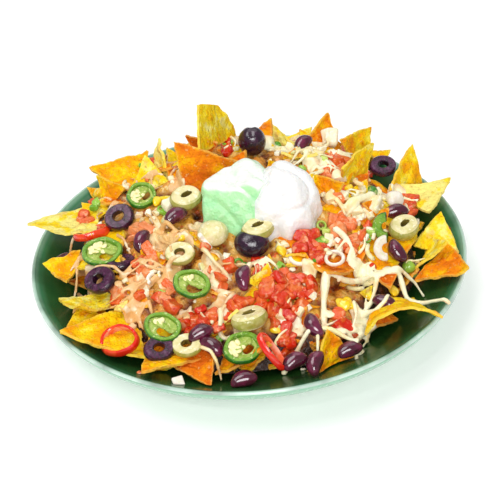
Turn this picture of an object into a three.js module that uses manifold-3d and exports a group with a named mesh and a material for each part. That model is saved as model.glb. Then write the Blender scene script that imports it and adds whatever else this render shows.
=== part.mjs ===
// A plate of loaded nachos: tortilla chips piled on a shallow glazed plate, with melted cheese, diced
// vegetables, olive, jalapeno and chilli slices, kidney beans and two dollops of cream.
// Millimetres, +Z up, the plate's centre on the table at the origin, the eater's side towards -Y.

import * as THREE from "three";
import { mergeVertices } from "three/addons/utils/BufferGeometryUtils.js";
import Module from "manifold-3d";

const wasm = await Module();
wasm.setup();
const { Manifold } = wasm;

// ---- Driving dimensions ------------------------------------------------------------------------

const PLATE_RADIUS = 140;
const RIM_HEIGHT = 34; // top of the rim above the table
const WALL = 5; // thickness of the plate's side
const WELL_RADIUS = 78; // flat part of the inside
const WELL_FLOOR = 7; // the well's height above the table
const FOOT_RADIUS = 62;
const PLATE_SIDES = 44;

const HEAP_RADIUS = 124;
const HEAP_EDGE = 24; // height of the heap where it meets the plate's side
const HEAP_RISE = 38; // from there to the top of the core
const HEAP_LEAN = 0.16; // the heap is higher towards the back
const HEAP_BACK = 6; // and its middle is this far back

const CHIP_SIDE = 54;
const CHIP_THICKNESS = 2;
const DIE = 8.5; // edge of a die of tomato or onion
const GAP = 0.35; // between pieces that touch

const RAD = Math.PI / 180;

// ---- Working with solids -----------------------------------------------------------------------

// A closed three.js geometry as a solid that can be joined and cut.
function solidOf(geometry) {
  const bare = new THREE.BufferGeometry();
  bare.setAttribute("position", geometry.getAttribute("position"));
  if (geometry.index) bare.setIndex(geometry.index);
  const merged = mergeVertices(bare, 1e-3);
  return new Manifold(
    new wasm.Mesh({
      numProp: 3,
      vertProperties: new Float32Array(merged.attributes.position.array),
      triVerts: new Uint32Array(merged.index.array),
    }),
  );
}

function geometryOf(solid) {
  const mesh = solid.getMesh();
  const geometry = new THREE.BufferGeometry();
  geometry.setAttribute("position", new THREE.BufferAttribute(mesh.vertProperties.slice(), 3));
  geometry.setIndex(new THREE.BufferAttribute(mesh.triVerts.slice(), 1));
  geometry.computeVertexNormals();
  return geometry;
}

// The largest of the bodies that a cut leaves, so that no scrap floats.
function largest(solid) {
  const bodies = solid.decompose();
  return bodies.reduce((best, body) => (body.volume() > best.volume() ? body : best));
}

// A surface of revolution about Z. The profile is a list of [radius, height] that starts and ends on
// the axis, or ends where it starts.
function turned(profile, segments) {
  const points = profile.map(([radius, height]) => new THREE.Vector2(radius, height));
  return new THREE.LatheGeometry(points, segments).rotateX(Math.PI / 2);
}

function geometryFrom(positions, faces) {
  const geometry = new THREE.BufferGeometry();
  geometry.setAttribute("position", new THREE.Float32BufferAttribute(positions, 3));
  geometry.setIndex(faces);
  return geometry;
}

// A number from 0 to 1 that is always the same for the same seed.
function chance(seed) {
  const wave = Math.sin(seed * 12.9898 + 4.1414) * 43758.5453;
  return wave - Math.floor(wave);
}

// A piece is made lying flat at the origin. It is spun in its own plane, leant up from flat to face the
// eater, turned about the vertical, and moved to its place.
function place(geometry, { at: [x, y, z], spin = 0, lean = 0, yaw = 0 }) {
  const turn = new THREE.Matrix4().makeRotationZ(yaw * RAD);
  turn.multiply(new THREE.Matrix4().makeRotationX(lean * RAD));
  turn.multiply(new THREE.Matrix4().makeRotationZ(spin * RAD));
  turn.setPosition(x, y, z);
  return geometry.applyMatrix4(turn);
}

// ---- The plate ---------------------------------------------------------------------------------

// Height of the plate's inside at a distance from its centre.
function plateInside(radius) {
  const share = Math.max(0, (radius - WELL_RADIUS) / (PLATE_RADIUS - 2 - WELL_RADIUS));
  return WELL_FLOOR + (RIM_HEIGHT - 1 - WELL_FLOOR) * share ** 1.35;
}

// Points up the inside, from the rim to the well, each lifted by a clearance.
function insideProfile(clear) {
  const steps = 4;
  const points = [];
  for (let i = steps; i >= 0; i--) {
    const radius = WELL_RADIUS + ((PLATE_RADIUS - 3 - WELL_RADIUS) * i) / steps;
    points.push([radius, plateInside(radius) + clear]);
  }
  return [...points, [0, WELL_FLOOR + clear]];
}

function plate() {
  const foot = [
    [0, 2],
    [FOOT_RADIUS - 9, 2],
    [FOOT_RADIUS - 7, 0],
    [FOOT_RADIUS, 0],
    [FOOT_RADIUS + 3, 2.6],
  ];
  const underside = [];
  for (let radius = WELL_RADIUS + 10; radius < PLATE_RADIUS; radius += 16) {
    underside.push([radius + 2, Math.max(3, plateInside(radius) - WALL)]);
  }
  const rim = [
    [PLATE_RADIUS, RIM_HEIGHT - 1.8],
    [PLATE_RADIUS - 0.8, RIM_HEIGHT],
    [PLATE_RADIUS - 2.2, RIM_HEIGHT - 0.2],
  ];
  return solidOf(turned([...foot, ...underside, ...rim, ...insideProfile(0)], PLATE_SIDES));
}

// Everything that the heap keeps out of: the plate with a gap over it, and what is below.
function plateClearance() {
  const rim = [
    [0, -5],
    [PLATE_RADIUS + 2 * GAP, -5],
    [PLATE_RADIUS + 2 * GAP, RIM_HEIGHT + GAP],
    [PLATE_RADIUS - 2.2, RIM_HEIGHT + 2 * GAP],
  ];
  return solidOf(turned([...rim, ...insideProfile(2 * GAP)], PLATE_SIDES));
}

// ---- The core of the heap ----------------------------------------------------------------------

// Height of the heap, without the chips that stand out of it.
function heapTop(x, y) {
  const share = Math.min(1, Math.hypot(x, y - HEAP_BACK) / HEAP_RADIUS);
  return HEAP_EDGE + (HEAP_RISE + HEAP_LEAN * y) * (1 - share ** 2.8);
}

// Lumps of what lies under the surface, a few millimetres deep.
function lumps(x, y) {
  const broad = 1.8 * Math.sin(x * 0.15 + y * 0.06) * Math.cos(y * 0.17 - x * 0.05);
  return broad + 1.2 * Math.sin(x * 0.33 - y * 0.27) * Math.cos(y * 0.4);
}

// The core fills the plate up to the heap's surface, and stops clear of the glaze.
function heapCore() {
  const around = 32;
  const topRings = 7;
  const bottomRings = 1;
  const rings = topRings + bottomRings;
  const positions = [0, 0, heapTop(0, 0) + lumps(0, 0)];
  for (let ring = 1; ring <= rings; ring++) {
    const under = ring > topRings;
    const share = under ? 1 - (ring - topRings) / (bottomRings + 1) : ring / topRings;
    for (let i = 0; i < around; i++) {
      const angle = (2 * Math.PI * i) / around;
      const uneven = 0.96 - 0.035 * Math.sin(angle * 5 + 1) * Math.cos(angle * 3);
      const reach = HEAP_RADIUS * uneven * (under ? share : share ** 0.8);
      const x = reach * Math.cos(angle);
      const y = HEAP_BACK * 0.4 * share + reach * Math.sin(angle);
      const glaze = plateInside(Math.hypot(x, y)) + 4 * GAP;
      const fade = Math.min(1, (1 - share) * 4);
      const surface = Math.max(glaze + 2, heapTop(x, y) + lumps(x, y) * fade);
      positions.push(x, y, under ? glaze : surface);
    }
  }
  const last = positions.length / 3;
  positions.push(0, 0, WELL_FLOOR + 4 * GAP);
  const at = (ring, i) => 1 + (ring - 1) * around + (i % around);
  const faces = [];
  for (let i = 0; i < around; i++) {
    faces.push(0, at(1, i), at(1, i + 1));
    for (let ring = 1; ring < rings; ring++) {
      faces.push(at(ring, i), at(ring + 1, i), at(ring + 1, i + 1));
      faces.push(at(ring, i), at(ring + 1, i + 1), at(ring, i + 1));
    }
    faces.push(at(rings, i), last, at(rings, i + 1));
  }
  return solidOf(geometryFrom(positions, faces));
}

// ---- Tortilla chips ----------------------------------------------------------------------------

// A chip is a rounded triangle with one corner towards +Y, curled so that its sides rise by curl
// millimetres. Snap is how much of that corner has broken off, at the left and the right of a break
// that bulges a little.
function chip({ size = CHIP_SIDE, curl = 2, snap = [0, 0], ...pose }) {
  const rows = 3;
  const corners = [90, 210, 330].map((angle) => [Math.cos(angle * RAD), Math.sin(angle * RAD)]);
  const reach = size / Math.sqrt(3);
  const points = [];
  for (let i = 0; i <= rows; i++) {
    for (let j = 0; j <= rows - i; j++) {
      const rest = i === rows ? 0.5 : j / (rows - i);
      const bulge = i === rows ? 0.02 : 0;
      const tip = Math.min(i / rows, 1 - snap[0] + (snap[0] - snap[1]) * rest + bulge);
      const weights = [tip, (1 - tip) * (1 - rest), (1 - tip) * rest];
      const round = reach * (1 - 0.05 * Math.max(...weights) ** 6);
      const x = round * weights.reduce((sum, weight, k) => sum + weight * corners[k][0], 0);
      const y = round * weights.reduce((sum, weight, k) => sum + weight * corners[k][1], 0);
      points.push([x, y, curl * ((4 * (x * x + 0.4 * y * x)) / (size * size) - 0.25)]);
    }
  }
  const count = points.length;
  const positions = [];
  for (const half of [0.5, -0.5]) {
    for (const [x, y, z] of points) positions.push(x, y, z + half * CHIP_THICKNESS);
  }
  const index = (i, j) => i * (rows + 1) - (i * (i - 1)) / 2 + j;
  const faces = [];
  for (let i = 0; i < rows; i++) {
    for (let j = 0; j < rows - i; j++) {
      const cells = [[index(i, j), index(i, j + 1), index(i + 1, j)]];
      if (j < rows - i - 1) cells.push([index(i, j + 1), index(i + 1, j + 1), index(i + 1, j)]);
      for (const [a, b, c] of cells) faces.push(a, b, c, a + count, c + count, b + count);
    }
  }
  const edge = [];
  for (let k = 0; k < rows; k++) edge.push(index(0, k));
  for (let k = 0; k < rows; k++) edge.push(index(k, rows - k));
  for (let k = rows; k > 0; k--) edge.push(index(k, 0));
  edge.forEach((a, k) => {
    const b = edge[(k + 1) % edge.length];
    faces.push(a, a + count, b + count, a, b + count, b);
  });
  return solidOf(place(geometryFrom(positions, faces), pose));
}

// The chips that stand out of the heap, each with the place of its middle.
const CHIPS = [
  // At the back, from left to right.
  { at: [-54, 59, 62], spin: 21, lean: 79, yaw: -63, size: 38 },
  { at: [-26, 62, 73], spin: 59, lean: 88, yaw: -27, size: 26, curl: 1 },
  { at: [-18, 69, 89.5], spin: -19, lean: 70, yaw: 68, size: 58, snap: [0.39, 0.5] }, // the tallest
  { at: [8, 68, 63], spin: 200, lean: 30, yaw: 10, size: 48, curl: 9 }, // cups the whole olive
  { at: [25, 84, 56], spin: 38, lean: 67, yaw: -35, size: 38, curl: 3 },
  { at: [57, 81, 58], spin: 323, lean: 58, yaw: 38, size: 42, curl: 5 },
  { at: [80, 77, 56], spin: 291, lean: 68, yaw: 45, size: 36 },
  { at: [111, 54, 43], spin: 326, lean: 73, yaw: 45, size: 42, curl: 4 },
  // Beside and behind the cream.
  { at: [-79, 62, 59], spin: 48, lean: 11, yaw: 31, size: 46, curl: 4 },
  { at: [-62, 46, 64], spin: 20, lean: 41, yaw: -18, size: 30, curl: 4 },
  { at: [-27, 31, 76], spin: 45, lean: 62, yaw: -11, size: 47, curl: 3 },
  { at: [75, 41, 60], spin: 297, lean: 87, yaw: 49, size: 44, curl: 3 },
  { at: [52, 17, 62], spin: 70, lean: 66, yaw: -51, size: 32 },
  { at: [-89, 48, 54], spin: 54, lean: 70, yaw: -33, size: 26 },
  // On the right, over the rim.
  { at: [119, 36, 41], spin: 24, lean: 6, yaw: -83, size: 44, curl: 4 },
  { at: [120.3, -15, 42], spin: 345, lean: 49, yaw: 2, size: 32, curl: 6 },
  { at: [121, -39, 37.5], spin: 81, lean: 22.5, yaw: -97, size: 40 },
  { at: [114.5, -26, 39], spin: 345, lean: 50, yaw: -104.5, size: 32, curl: 5 },
  // In front, from right to left.
  { at: [87, -80, 38], lean: -28, yaw: 4, size: 50, curl: -12 },
  { at: [45, -104, 29], spin: 350, lean: 67, yaw: 35, size: 30, curl: 5 },
  { at: [-7, -101, 32], spin: 56, lean: -23, yaw: 68, size: 40, curl: 3 },
  { at: [-34, -107, 31], spin: 222, lean: 21, yaw: -22, size: 34, curl: 3 },
  { at: [-52, -98, 32], spin: 137, lean: -8, yaw: 8, size: 48, curl: -4 },
  { at: [-85, -75, 33], spin: 177, lean: -14, yaw: -79, size: 61, curl: 3 }, // under the chilli ring
  { at: [-102, -62, 30], spin: 130, lean: 10, yaw: 0, size: 38 },
  // On the left.
  { at: [-102, -49, 37], spin: 70, lean: -21, yaw: -14, size: 42, curl: 8 },
  { at: [-118, -13, 39], spin: 69, lean: 21, yaw: 2, size: 28, curl: 7 },
  { at: [-110, 26, 46], spin: 101, lean: -11, yaw: -14, size: 56, curl: 4 }, // long corner past the rim
  // On the far side, down to the rim.
  { at: [-88, 78, 37], spin: 20, lean: -30, yaw: 48, size: 48, curl: 4 },
  { at: [-50, 102, 38], spin: 66, lean: -34, yaw: 24, size: 50, curl: -4 },
  { at: [-8, 112, 44], spin: 10, lean: -52, yaw: -6, size: 50, curl: 5 },
  { at: [38, 110, 42], spin: 44, lean: -30, yaw: -26, size: 50, curl: 4 },
  { at: [84, 96, 40], spin: 82, lean: -44, yaw: -40, size: 46, curl: 5 },
  // In the middle, among the toppings.
  { at: [51, -44, 52], spin: 116, lean: -10, yaw: -57, size: 52, curl: 9 }, // holds diced tomato
  { at: [-22, -26, 56], spin: 140, lean: -28, yaw: -79, size: 42, curl: 5 },
  { at: [84, -30, 46], spin: 12, lean: 18, yaw: 44, size: 46, curl: -4 },
  // Behind the cream.
  { at: [34, 84, 54], spin: 200, lean: 24, yaw: -10, size: 40, curl: 3 },
  { at: [51.5, 55, 61], spin: 246, lean: 21.5, yaw: 83, size: 40, curl: -3 },
  { at: [-14, 88, 52], spin: 20, lean: 24, yaw: 16, size: 38, curl: 4 },
];

// Chips that lie on the heap like tiles, all the way round, spaced by the golden angle.
const TILES = 5;
const GOLDEN_ANGLE = 137.5;

function tile(i) {
  const angle = i * GOLDEN_ANGLE;
  const reach = HEAP_RADIUS * (0.62 + 0.26 * chance(i + 50));
  const x = reach * Math.cos(angle * RAD);
  const y = HEAP_BACK + reach * Math.sin(angle * RAD);
  const size = 40 + 12 * chance(i + 70);
  const lean = 20 + 22 * chance(i + 90);
  const pose = { at: [x, y, heapTop(x, y) + 1], spin: 360 * chance(i + 20), lean, yaw: angle + 90 };
  return chip({ ...pose, size, curl: 6 * chance(i + 30) - 1 });
}

// ---- Diced vegetables --------------------------------------------------------------------------

// Each patch has its middle, how far it spreads and how many dice it has.
const PATCHES = [
  { middle: [2, -70], spread: 13, count: 5 },
  { middle: [24, -66], spread: 13, count: 5 },
  { middle: [42, -36], spread: 11, count: 4 },
  { middle: [-64, -36], spread: 7, count: 3 },
  { middle: [-33, -76], spread: 8, count: 3 },
  { middle: [62, 52], spread: 11, count: 4 },
  { middle: [-110, 24], spread: 8, count: 2 },
  { middle: [20, -42], spread: 10, count: 3 },
  { middle: [106, 4], spread: 8, count: 2 },
  { middle: [-62, -62], spread: 12, count: 2 },
];
const STRAYS = 9; // dice that lie between the patches

function die(x, y, seed) {
  const edge = DIE * (0.75 + 0.4 * chance(seed + 11));
  const box = new THREE.BoxGeometry(edge, edge * 0.85, edge * 0.75);
  const pose = { spin: 90 * chance(seed + 3), lean: 50 * chance(seed + 5), yaw: 360 * chance(seed + 9) };
  return solidOf(place(box, { at: [x, y, heapTop(x, y) + edge * 0.4], ...pose }));
}

function diced() {
  const dice = [];
  PATCHES.forEach(({ middle: [x, y], spread, count }, patch) => {
    for (let i = 0; i < count; i++) {
      const seed = patch * 31 + i;
      const angle = i * GOLDEN_ANGLE * RAD;
      const reach = spread * Math.sqrt((i + 0.4) / count);
      dice.push(die(x + reach * Math.cos(angle), y + reach * Math.sin(angle), seed));
    }
  });
  for (let i = 0; i < STRAYS; i++) {
    const angle = (i + 0.5) * GOLDEN_ANGLE * RAD;
    const reach = HEAP_RADIUS * 0.86 * Math.sqrt((i + 6) / (STRAYS + 6));
    dice.push(die(reach * Math.cos(angle), HEAP_BACK + reach * Math.sin(angle), i + 500));
  }
  return dice;
}

// ---- Melted cheese -----------------------------------------------------------------------------

// Strips that follow the heap and sag between the two places where they stick.
const STRIPS = [
  { from: [74, -42], to: [132, -62], lift: 7 },
  { from: [92, -34], to: [60, -66], lift: 6 },
  { from: [26, -106], to: [68, -90], lift: 5 },
  { from: [66, -66], to: [70, -98], lift: 5 },
  { from: [40, -62], to: [42, -84], lift: 6 },
  { from: [-60, -18], to: [-58, -40], lift: 5 },
  { from: [-64, -56], to: [-58, -74], lift: 4 },
  { from: [-98, -18], to: [-106, -44], lift: 5 },
  { from: [-24, -100], to: [-26, -120], lift: 5 },
];

function strip({ from, to, lift }) {
  const steps = 5;
  const points = [];
  for (let i = 0; i <= steps; i++) {
    const share = i / steps;
    const x = from[0] + (to[0] - from[0]) * share;
    const y = from[1] + (to[1] - from[1]) * share;
    const sag = lift * (1 - 0.7 * Math.sin(Math.PI * share));
    points.push(new THREE.Vector3(x, y, heapTop(x, y) + sag));
  }
  const section = new THREE.Shape();
  section.moveTo(1.3, 0).lineTo(0, 1.6).lineTo(-1.3, 0).lineTo(0, -1.6);
  const path = new THREE.CatmullRomCurve3(points);
  return solidOf(new THREE.ExtrudeGeometry(section, { steps, bevelEnabled: false, extrudePath: path }));
}

// ---- Toppings large enough to pick up one by one -----------------------------------------------

// Each kind is made in two forms: as it is, and as the clear place that it needs in what it lies on,
// which is a gap larger on every side and has no hole.

function slice({ radius, hole, thickness, oval }, clear) {
  if (clear) {
    const half = thickness / 2 + GAP;
    const around = (radius + GAP) / Math.cos(Math.PI / 8);
    return [turned([[0, -half], [around, -half], [around, half], [0, half]], 8).scale(1, oval, 1)];
  }
  const half = thickness / 2;
  const outside = [[radius - 0.8, -half], [radius, 0], [radius - 0.8, half]];
  return [turned([[hole, -half], ...outside, [hole, half], [hole, -half]], 12).scale(1, oval, 1)];
}

const OLIVE_RING = { radius: 9.5, hole: 3.4, thickness: 5, oval: 0.9 };
const OLIVE_CUT = { radius: 11, hole: 2.6, thickness: 8, oval: 0.82 };
const CHILLI_RING = { radius: 12.4, hole: 10, thickness: 3.4, oval: 0.86 };
const NARROW_CHILLI_RING = { radius: 13.5, hole: 11.2, thickness: 3.4, oval: 0.5 };
const ONION_RING = { radius: 6.4, hole: 4.2, thickness: 2.6, oval: 0.9 };
const JALAPENO = { radius: 13.2, hole: 9.8, thickness: 4.6, oval: 0.86 };

const oliveRing = (clear) => slice(OLIVE_RING, clear);
const oliveCut = (clear) => slice(OLIVE_CUT, clear);
const chilliRing = (clear) => slice(CHILLI_RING, clear);
const narrowChilliRing = (clear) => slice(NARROW_CHILLI_RING, clear);
const onionRing = (clear) => slice(ONION_RING, clear);

// A jalapeno slice has its green wall, and the pale core with the seeds across the middle.
function jalapeno(clear) {
  const core = new THREE.BoxGeometry(2 * JALAPENO.hole + 1.6, 5.4, 3.2);
  return clear ? slice(JALAPENO, clear) : [...slice(JALAPENO, clear), core];
}

function oliveWhole(clear) {
  const radius = 9.3 + (clear ? GAP : 0);
  return [new THREE.SphereGeometry(radius, 12, 8).rotateX(Math.PI / 2).scale(1, 0.95, 1.1)];
}

// Half an olive, cut side down.
function oliveHalf(clear) {
  const grow = clear ? GAP : 0;
  const steps = 4;
  const profile = [[0, -2.5 - grow]];
  for (let i = 0; i < steps; i++) {
    const angle = (90 * i * RAD) / steps;
    const height = i === 0 ? -2.5 - grow : (8.4 + grow) * Math.sin(angle) - 2.5;
    profile.push([(9.4 + grow) * Math.cos(angle), height]);
  }
  return [turned([...profile, [0, 5.9 + grow]], 12).scale(1.06, 0.94, 1)];
}

// A kidney bean lies along X and bends towards -Y.
function bean(clear) {
  const grow = clear ? 1.2 * GAP : 0;
  const geometry = new THREE.SphereGeometry(1, 8, 6).rotateZ(Math.PI / 2);
  const positions = geometry.getAttribute("position");
  for (let i = 0; i < positions.count; i++) {
    const x = positions.getX(i) * (8.2 + grow);
    const y = positions.getY(i) * (5 + grow) - 0.028 * x * x + 0.8;
    positions.setXYZ(i, x, y, positions.getZ(i) * (4.6 + grow));
  }
  return [geometry];
}

function onionCube(clear) {
  const edge = 7 + (clear ? 2 * GAP : 0);
  return [new THREE.BoxGeometry(edge, edge, edge - 1)];
}

function onionBall(clear) {
  return [new THREE.SphereGeometry(6.2 + (clear ? GAP : 0), 8, 6).rotateX(Math.PI / 2)];
}

// A curved layer of onion or pepper: half of a ring.
function wedge(clear) {
  const grow = clear ? GAP : 0;
  const shape = new THREE.Shape();
  shape.absarc(0, 0, 9 + grow, -grow / 9, Math.PI + grow / 9, false);
  if (!clear) shape.absarc(0, 0, 5.6, Math.PI, 0, true);
  const depth = 5 + 2 * grow;
  const options = { depth, bevelEnabled: false, curveSegments: 7 };
  return [new THREE.ExtrudeGeometry(shape, options).translate(0, clear ? -grow : 0, -depth / 2)];
}

// A spoonful of cream: a mound with soft folds, a little wider than it is high.
function dollop(width, height, seed, clear) {
  const grow = clear ? GAP : 0;
  const geometry = new THREE.SphereGeometry(1, 16, 9).rotateX(Math.PI / 2);
  const positions = geometry.getAttribute("position");
  for (let i = 0; i < positions.count; i++) {
    const [x, y, z] = [positions.getX(i), positions.getY(i), positions.getZ(i)];
    const angle = Math.atan2(y, x);
    const fold = 0.07 * Math.sin(3 * angle + seed + 2.2 * z) + 0.05 * Math.sin(5 * angle - 2 * seed);
    const reach = (width / 2) * (1 + Math.hypot(x, y) * fold) + grow;
    const rise = z > 0 ? z ** 0.85 : z * 0.5;
    positions.setXYZ(i, x * reach, y * reach, rise * (height * 0.72 + grow));
  }
  return [geometry];
}

const sourCream = (clear) => dollop(48, 41, 1.2, clear);
const avocadoCream = (clear) => dollop(46, 42, 3.4, clear);

const BLACK = 0x2e1226;
const OLIVE = 0xc9c56a;
const GREEN = 0x4f9a2c;
const RED = 0xd8260f;
const MAROON = 0x4a0f22;
const ONION = 0xf4efe4;
const WHITE = 0xfbfaf6;
const MINT = 0xa9e3a4;

// From the top of the heap down: what is listed first cuts its place in what is listed later. Each has
// its name, form and colour, the place of its middle, its spin, lean and yaw, and its size as a share of
// the usual one of its kind.
const TOPPINGS = [
  ["black_olive_whole", oliveWhole, BLACK, [8, 62, 76]],
  ["black_olive_ring_1", oliveRing, BLACK, [-81, 11.5, 57.4], [20, 34, -20], 1.08],
  ["black_olive_ring_2", oliveRing, BLACK, [-93, -38, 45], [10, 26, -52], 1.14],
  ["green_olive_cut_1", oliveCut, OLIVE, [-37, 9, 70], [0, 14, 40]],
  ["green_olive_cut_2", oliveCut, OLIVE, [7, -25, 65.5], [0, 0, 30]],
  ["green_olive_cut_3", oliveCut, OLIVE, [99, -15, 51.5], [0, 8, 50]],
  ["green_olive_cut_4", oliveCut, OLIVE, [-2, -87.5, 46], [10, -14, 20], 1.06],
  ["jalapeno_ring_1", jalapeno, GREEN, [-92, -15, 50], [0, 14, -6], 1.02],
  ["jalapeno_ring_2", jalapeno, GREEN, [-35.3, -60.5, 54.2], [-40, 20, 20], 0.9],
  ["jalapeno_ring_3", jalapeno, GREEN, [-54, -86.5, 43.6], [-40, 22, 20], 0.88],
  ["jalapeno_ring_4", jalapeno, GREEN, [-7.5, -106, 39.2], [20, 14, 30], 0.94],
  ["jalapeno_ring_5", jalapeno, GREEN, [-66.5, 27, 62.5], [30, 20, 30], 0.84],
  ["red_chilli_ring_1", chilliRing, RED, [-80, -87, 36], [20, 20, -46]],
  ["red_chilli_ring_2", narrowChilliRing, RED, [9.5, -111.5, 39.5], [-118, 54, 91]],
  ["red_chilli_ring_3", chilliRing, RED, [-100, 10, 48], [153, 24, -156]],
  ["kidney_bean_1", bean, MAROON, [-4, -62.3, 57], [84, 34, 0]],
  ["kidney_bean_2", bean, MAROON, [35.3, -95, 43], [116, 30, 0]],
  ["kidney_bean_3", bean, MAROON, [92.3, -35.4, 48.4], [110, 34, 10]],
  ["kidney_bean_4", bean, MAROON, [96.3, 5, 50], [10, 20, 0]],
  ["kidney_bean_5", bean, MAROON, [22, -114.5, 33.5], [30, 20, 0]],
  ["kidney_bean_6", bean, MAROON, [34, -117, 33], [70, 24, 0]],
  ["kidney_bean_7", bean, MAROON, [-31.7, -92.8, 42], [24, 24, 0]],
  ["kidney_bean_8", bean, MAROON, [-25.5, -101, 38], [-40, 24, 0]],
  ["kidney_bean_9", bean, MAROON, [-8, -122, 29], [14, 14, 0]],
  ["kidney_bean_10", bean, MAROON, [-44, -4, 66], [30, 12, 0]],
  ["kidney_bean_11", bean, MAROON, [55, -104, 30], [20, 10, 0]],
  ["kidney_bean_12", bean, MAROON, [-66.3, -14, 55.2], [70, 30, 0]],
  ["kidney_bean_13", bean, MAROON, [80, -71.5, 37], [-34, 20, 0]],
  ["kidney_bean_14", bean, MAROON, [42, 68, 67], [50, 20, 0]],
  ["kidney_bean_15", bean, MAROON, [-118, -2, 36], [12, 10, 0]],
  ["jalapeno_wedge", wedge, GREEN, [87.5, -21, 57.2], [100, 66, -20]],
  ["onion_wedge", wedge, ONION, [84.5, -40, 55], [80, 60, 20], 0.86],
  ["onion_ball", onionBall, ONION, [97, 16.5, 52]],
  ["onion_cube", onionCube, ONION, [-46, -118, 26], [14, 18, 0]],
  ["onion_ring", onionRing, ONION, [52, -50, 57.6], [0, 22, 10]],
  ["black_olive_ring_3", oliveRing, BLACK, [-56.5, -99, 37.3], [0, 20, 20]],
  ["black_olive_ring_4", oliveRing, BLACK, [-80, -24, 47], [0, -10, 20]],
  ["black_olive_ring_5", oliveRing, BLACK, [95.3, 63.5, 47.5], [0, 20, 10]],
  ["black_olive_half", oliveHalf, BLACK, [2.5, -32, 61.5], [0, 30, 0], 1.12],
  ["green_olive_half", oliveHalf, OLIVE, [-21, -22.6, 64.5], [0, 24, 0]],
  ["green_olive_ring_1", oliveRing, OLIVE, [-42, -34, 58], [0, 20, 0]],
  ["green_olive_ring_2", oliveRing, OLIVE, [-40, -98, 37.6], [0, 10, -20]],
  ["sour_cream", sourCream, WHITE, [24.5, 0, 63], [0, 6, 0]],
  ["avocado_cream", avocadoCream, MINT, [-7, 4, 64], [0, 8, 0]],
];

// ---- Putting the plate together ----------------------------------------------------------------

// A topping's parts, joined in their place.
function topping([, make, , at, [spin, lean, yaw] = [], size = 1], clear) {
  const pose = { at, spin, lean, yaw };
  const parts = make(clear).map((part) => solidOf(place(part.scale(size, size, size), pose)));
  return parts.reduce((whole, part) => whole.add(part));
}

function mesh(name, solid, color, roughness) {
  const material = new THREE.MeshStandardMaterial({ color, roughness, metalness: 0 });
  const made = new THREE.Mesh(geometryOf(solid), material);
  made.name = name;
  return made;
}

const nachos = new THREE.Group();
nachos.add(mesh("plate", plate(), 0x1f4d33, 0.2));

let keepClear = plateClearance();
for (const entry of TOPPINGS) {
  const [name, , color] = entry;
  nachos.add(mesh(name, largest(topping(entry, false).subtract(keepClear)), color, 0.35));
  keepClear = keepClear.add(topping(entry, true));
}

const pieces = [...CHIPS.map(chip), ...diced(), ...STRIPS.map(strip)];
for (let i = 0; i < TILES; i++) pieces.push(tile(i));
const heap = pieces.reduce((whole, piece) => whole.add(piece), heapCore());
nachos.add(mesh("nacho_heap", largest(heap.subtract(keepClear)), 0xe9a23b, 0.7));

export default nachos;
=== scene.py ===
"""A plate of loaded nachos: chips heaped on a glazed plate, with melted cheese, diced vegetables,
slices of olive, jalapeno and chilli, kidney beans and two dollops of cream.

Metres, +Z up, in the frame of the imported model: the plate stands on the table at the origin and the
eater sits towards -Y. Sizes are written in millimetres and turned into metres where a mesh is made.
"""

import math
import random

import bpy
from mathutils import Matrix, Vector, noise
from mathutils.bvhtree import BVHTree


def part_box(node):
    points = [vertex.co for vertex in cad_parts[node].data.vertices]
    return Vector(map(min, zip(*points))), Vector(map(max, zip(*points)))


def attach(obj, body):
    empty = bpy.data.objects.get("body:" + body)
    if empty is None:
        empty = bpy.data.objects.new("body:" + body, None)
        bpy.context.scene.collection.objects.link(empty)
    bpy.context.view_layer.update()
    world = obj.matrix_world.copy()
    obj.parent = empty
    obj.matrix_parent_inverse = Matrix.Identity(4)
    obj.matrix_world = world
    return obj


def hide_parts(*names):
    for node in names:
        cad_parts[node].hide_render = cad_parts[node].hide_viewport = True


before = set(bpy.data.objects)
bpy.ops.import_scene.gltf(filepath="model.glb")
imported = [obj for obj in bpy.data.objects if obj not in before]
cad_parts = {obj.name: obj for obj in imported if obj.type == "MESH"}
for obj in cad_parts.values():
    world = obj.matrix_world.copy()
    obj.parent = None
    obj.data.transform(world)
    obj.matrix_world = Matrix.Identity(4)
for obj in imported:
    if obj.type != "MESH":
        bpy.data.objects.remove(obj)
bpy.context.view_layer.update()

scene = bpy.context.scene

# ---- The view -----------------------------------------------------------------------------------
# A long lens looks down at the plate from the eater's side, turned a little clockwise.

MM = 0.001
LENS = 100.1
LENS_DISTANCE = 900
LENS_HEIGHT = 36.1  # degrees above the table
LENS_ROLL = -4.3
LENS_AIM = (1.2, 0, 32)

bpy.ops.object.select_all(action="DESELECT")
bpy.ops.object.camera_add()
lens = bpy.context.object
lens.data.lens = LENS
lens.data.sensor_width = 36
lens.data.clip_start = 0.05
lens_turn = Matrix.Rotation(math.radians(90 - LENS_HEIGHT), 4, "X")
lens_turn @= Matrix.Rotation(math.radians(LENS_ROLL), 4, "Z")
lens_back = lens_turn.to_3x3() @ Vector((0, 0, LENS_DISTANCE * MM))
lens.matrix_world = Matrix.Translation(Vector(LENS_AIM) * MM + lens_back) @ lens_turn
scene.camera = lens


# ---- The plate ----------------------------------------------------------------------------------
# A shallow stoneware plate, thrown on a wheel. Its dark green glaze is thin at the rim and on the outside,
# where it turns a pale mint; the palest band at the lip is also a painted highlight.

PLATE_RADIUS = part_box("plate")[1].x / MM
RIM_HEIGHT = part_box("plate")[1].z / MM
WELL_RADIUS = 78
WELL_FLOOR = 7
FOOT_RADIUS = 62
WALL = 4.6
SIDE_CURVE = 1.35  # the higher, the later the side turns up


def ink(code):
    """A colour written as a paint code, as Blender's linear red, green, blue and alpha."""
    parts = [int(code[i : i + 2], 16) / 255 for i in (1, 3, 5)]
    return [c / 12.92 if c < 0.04045 else ((c + 0.055) / 1.055) ** 2.4 for c in parts] + [1]


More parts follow.
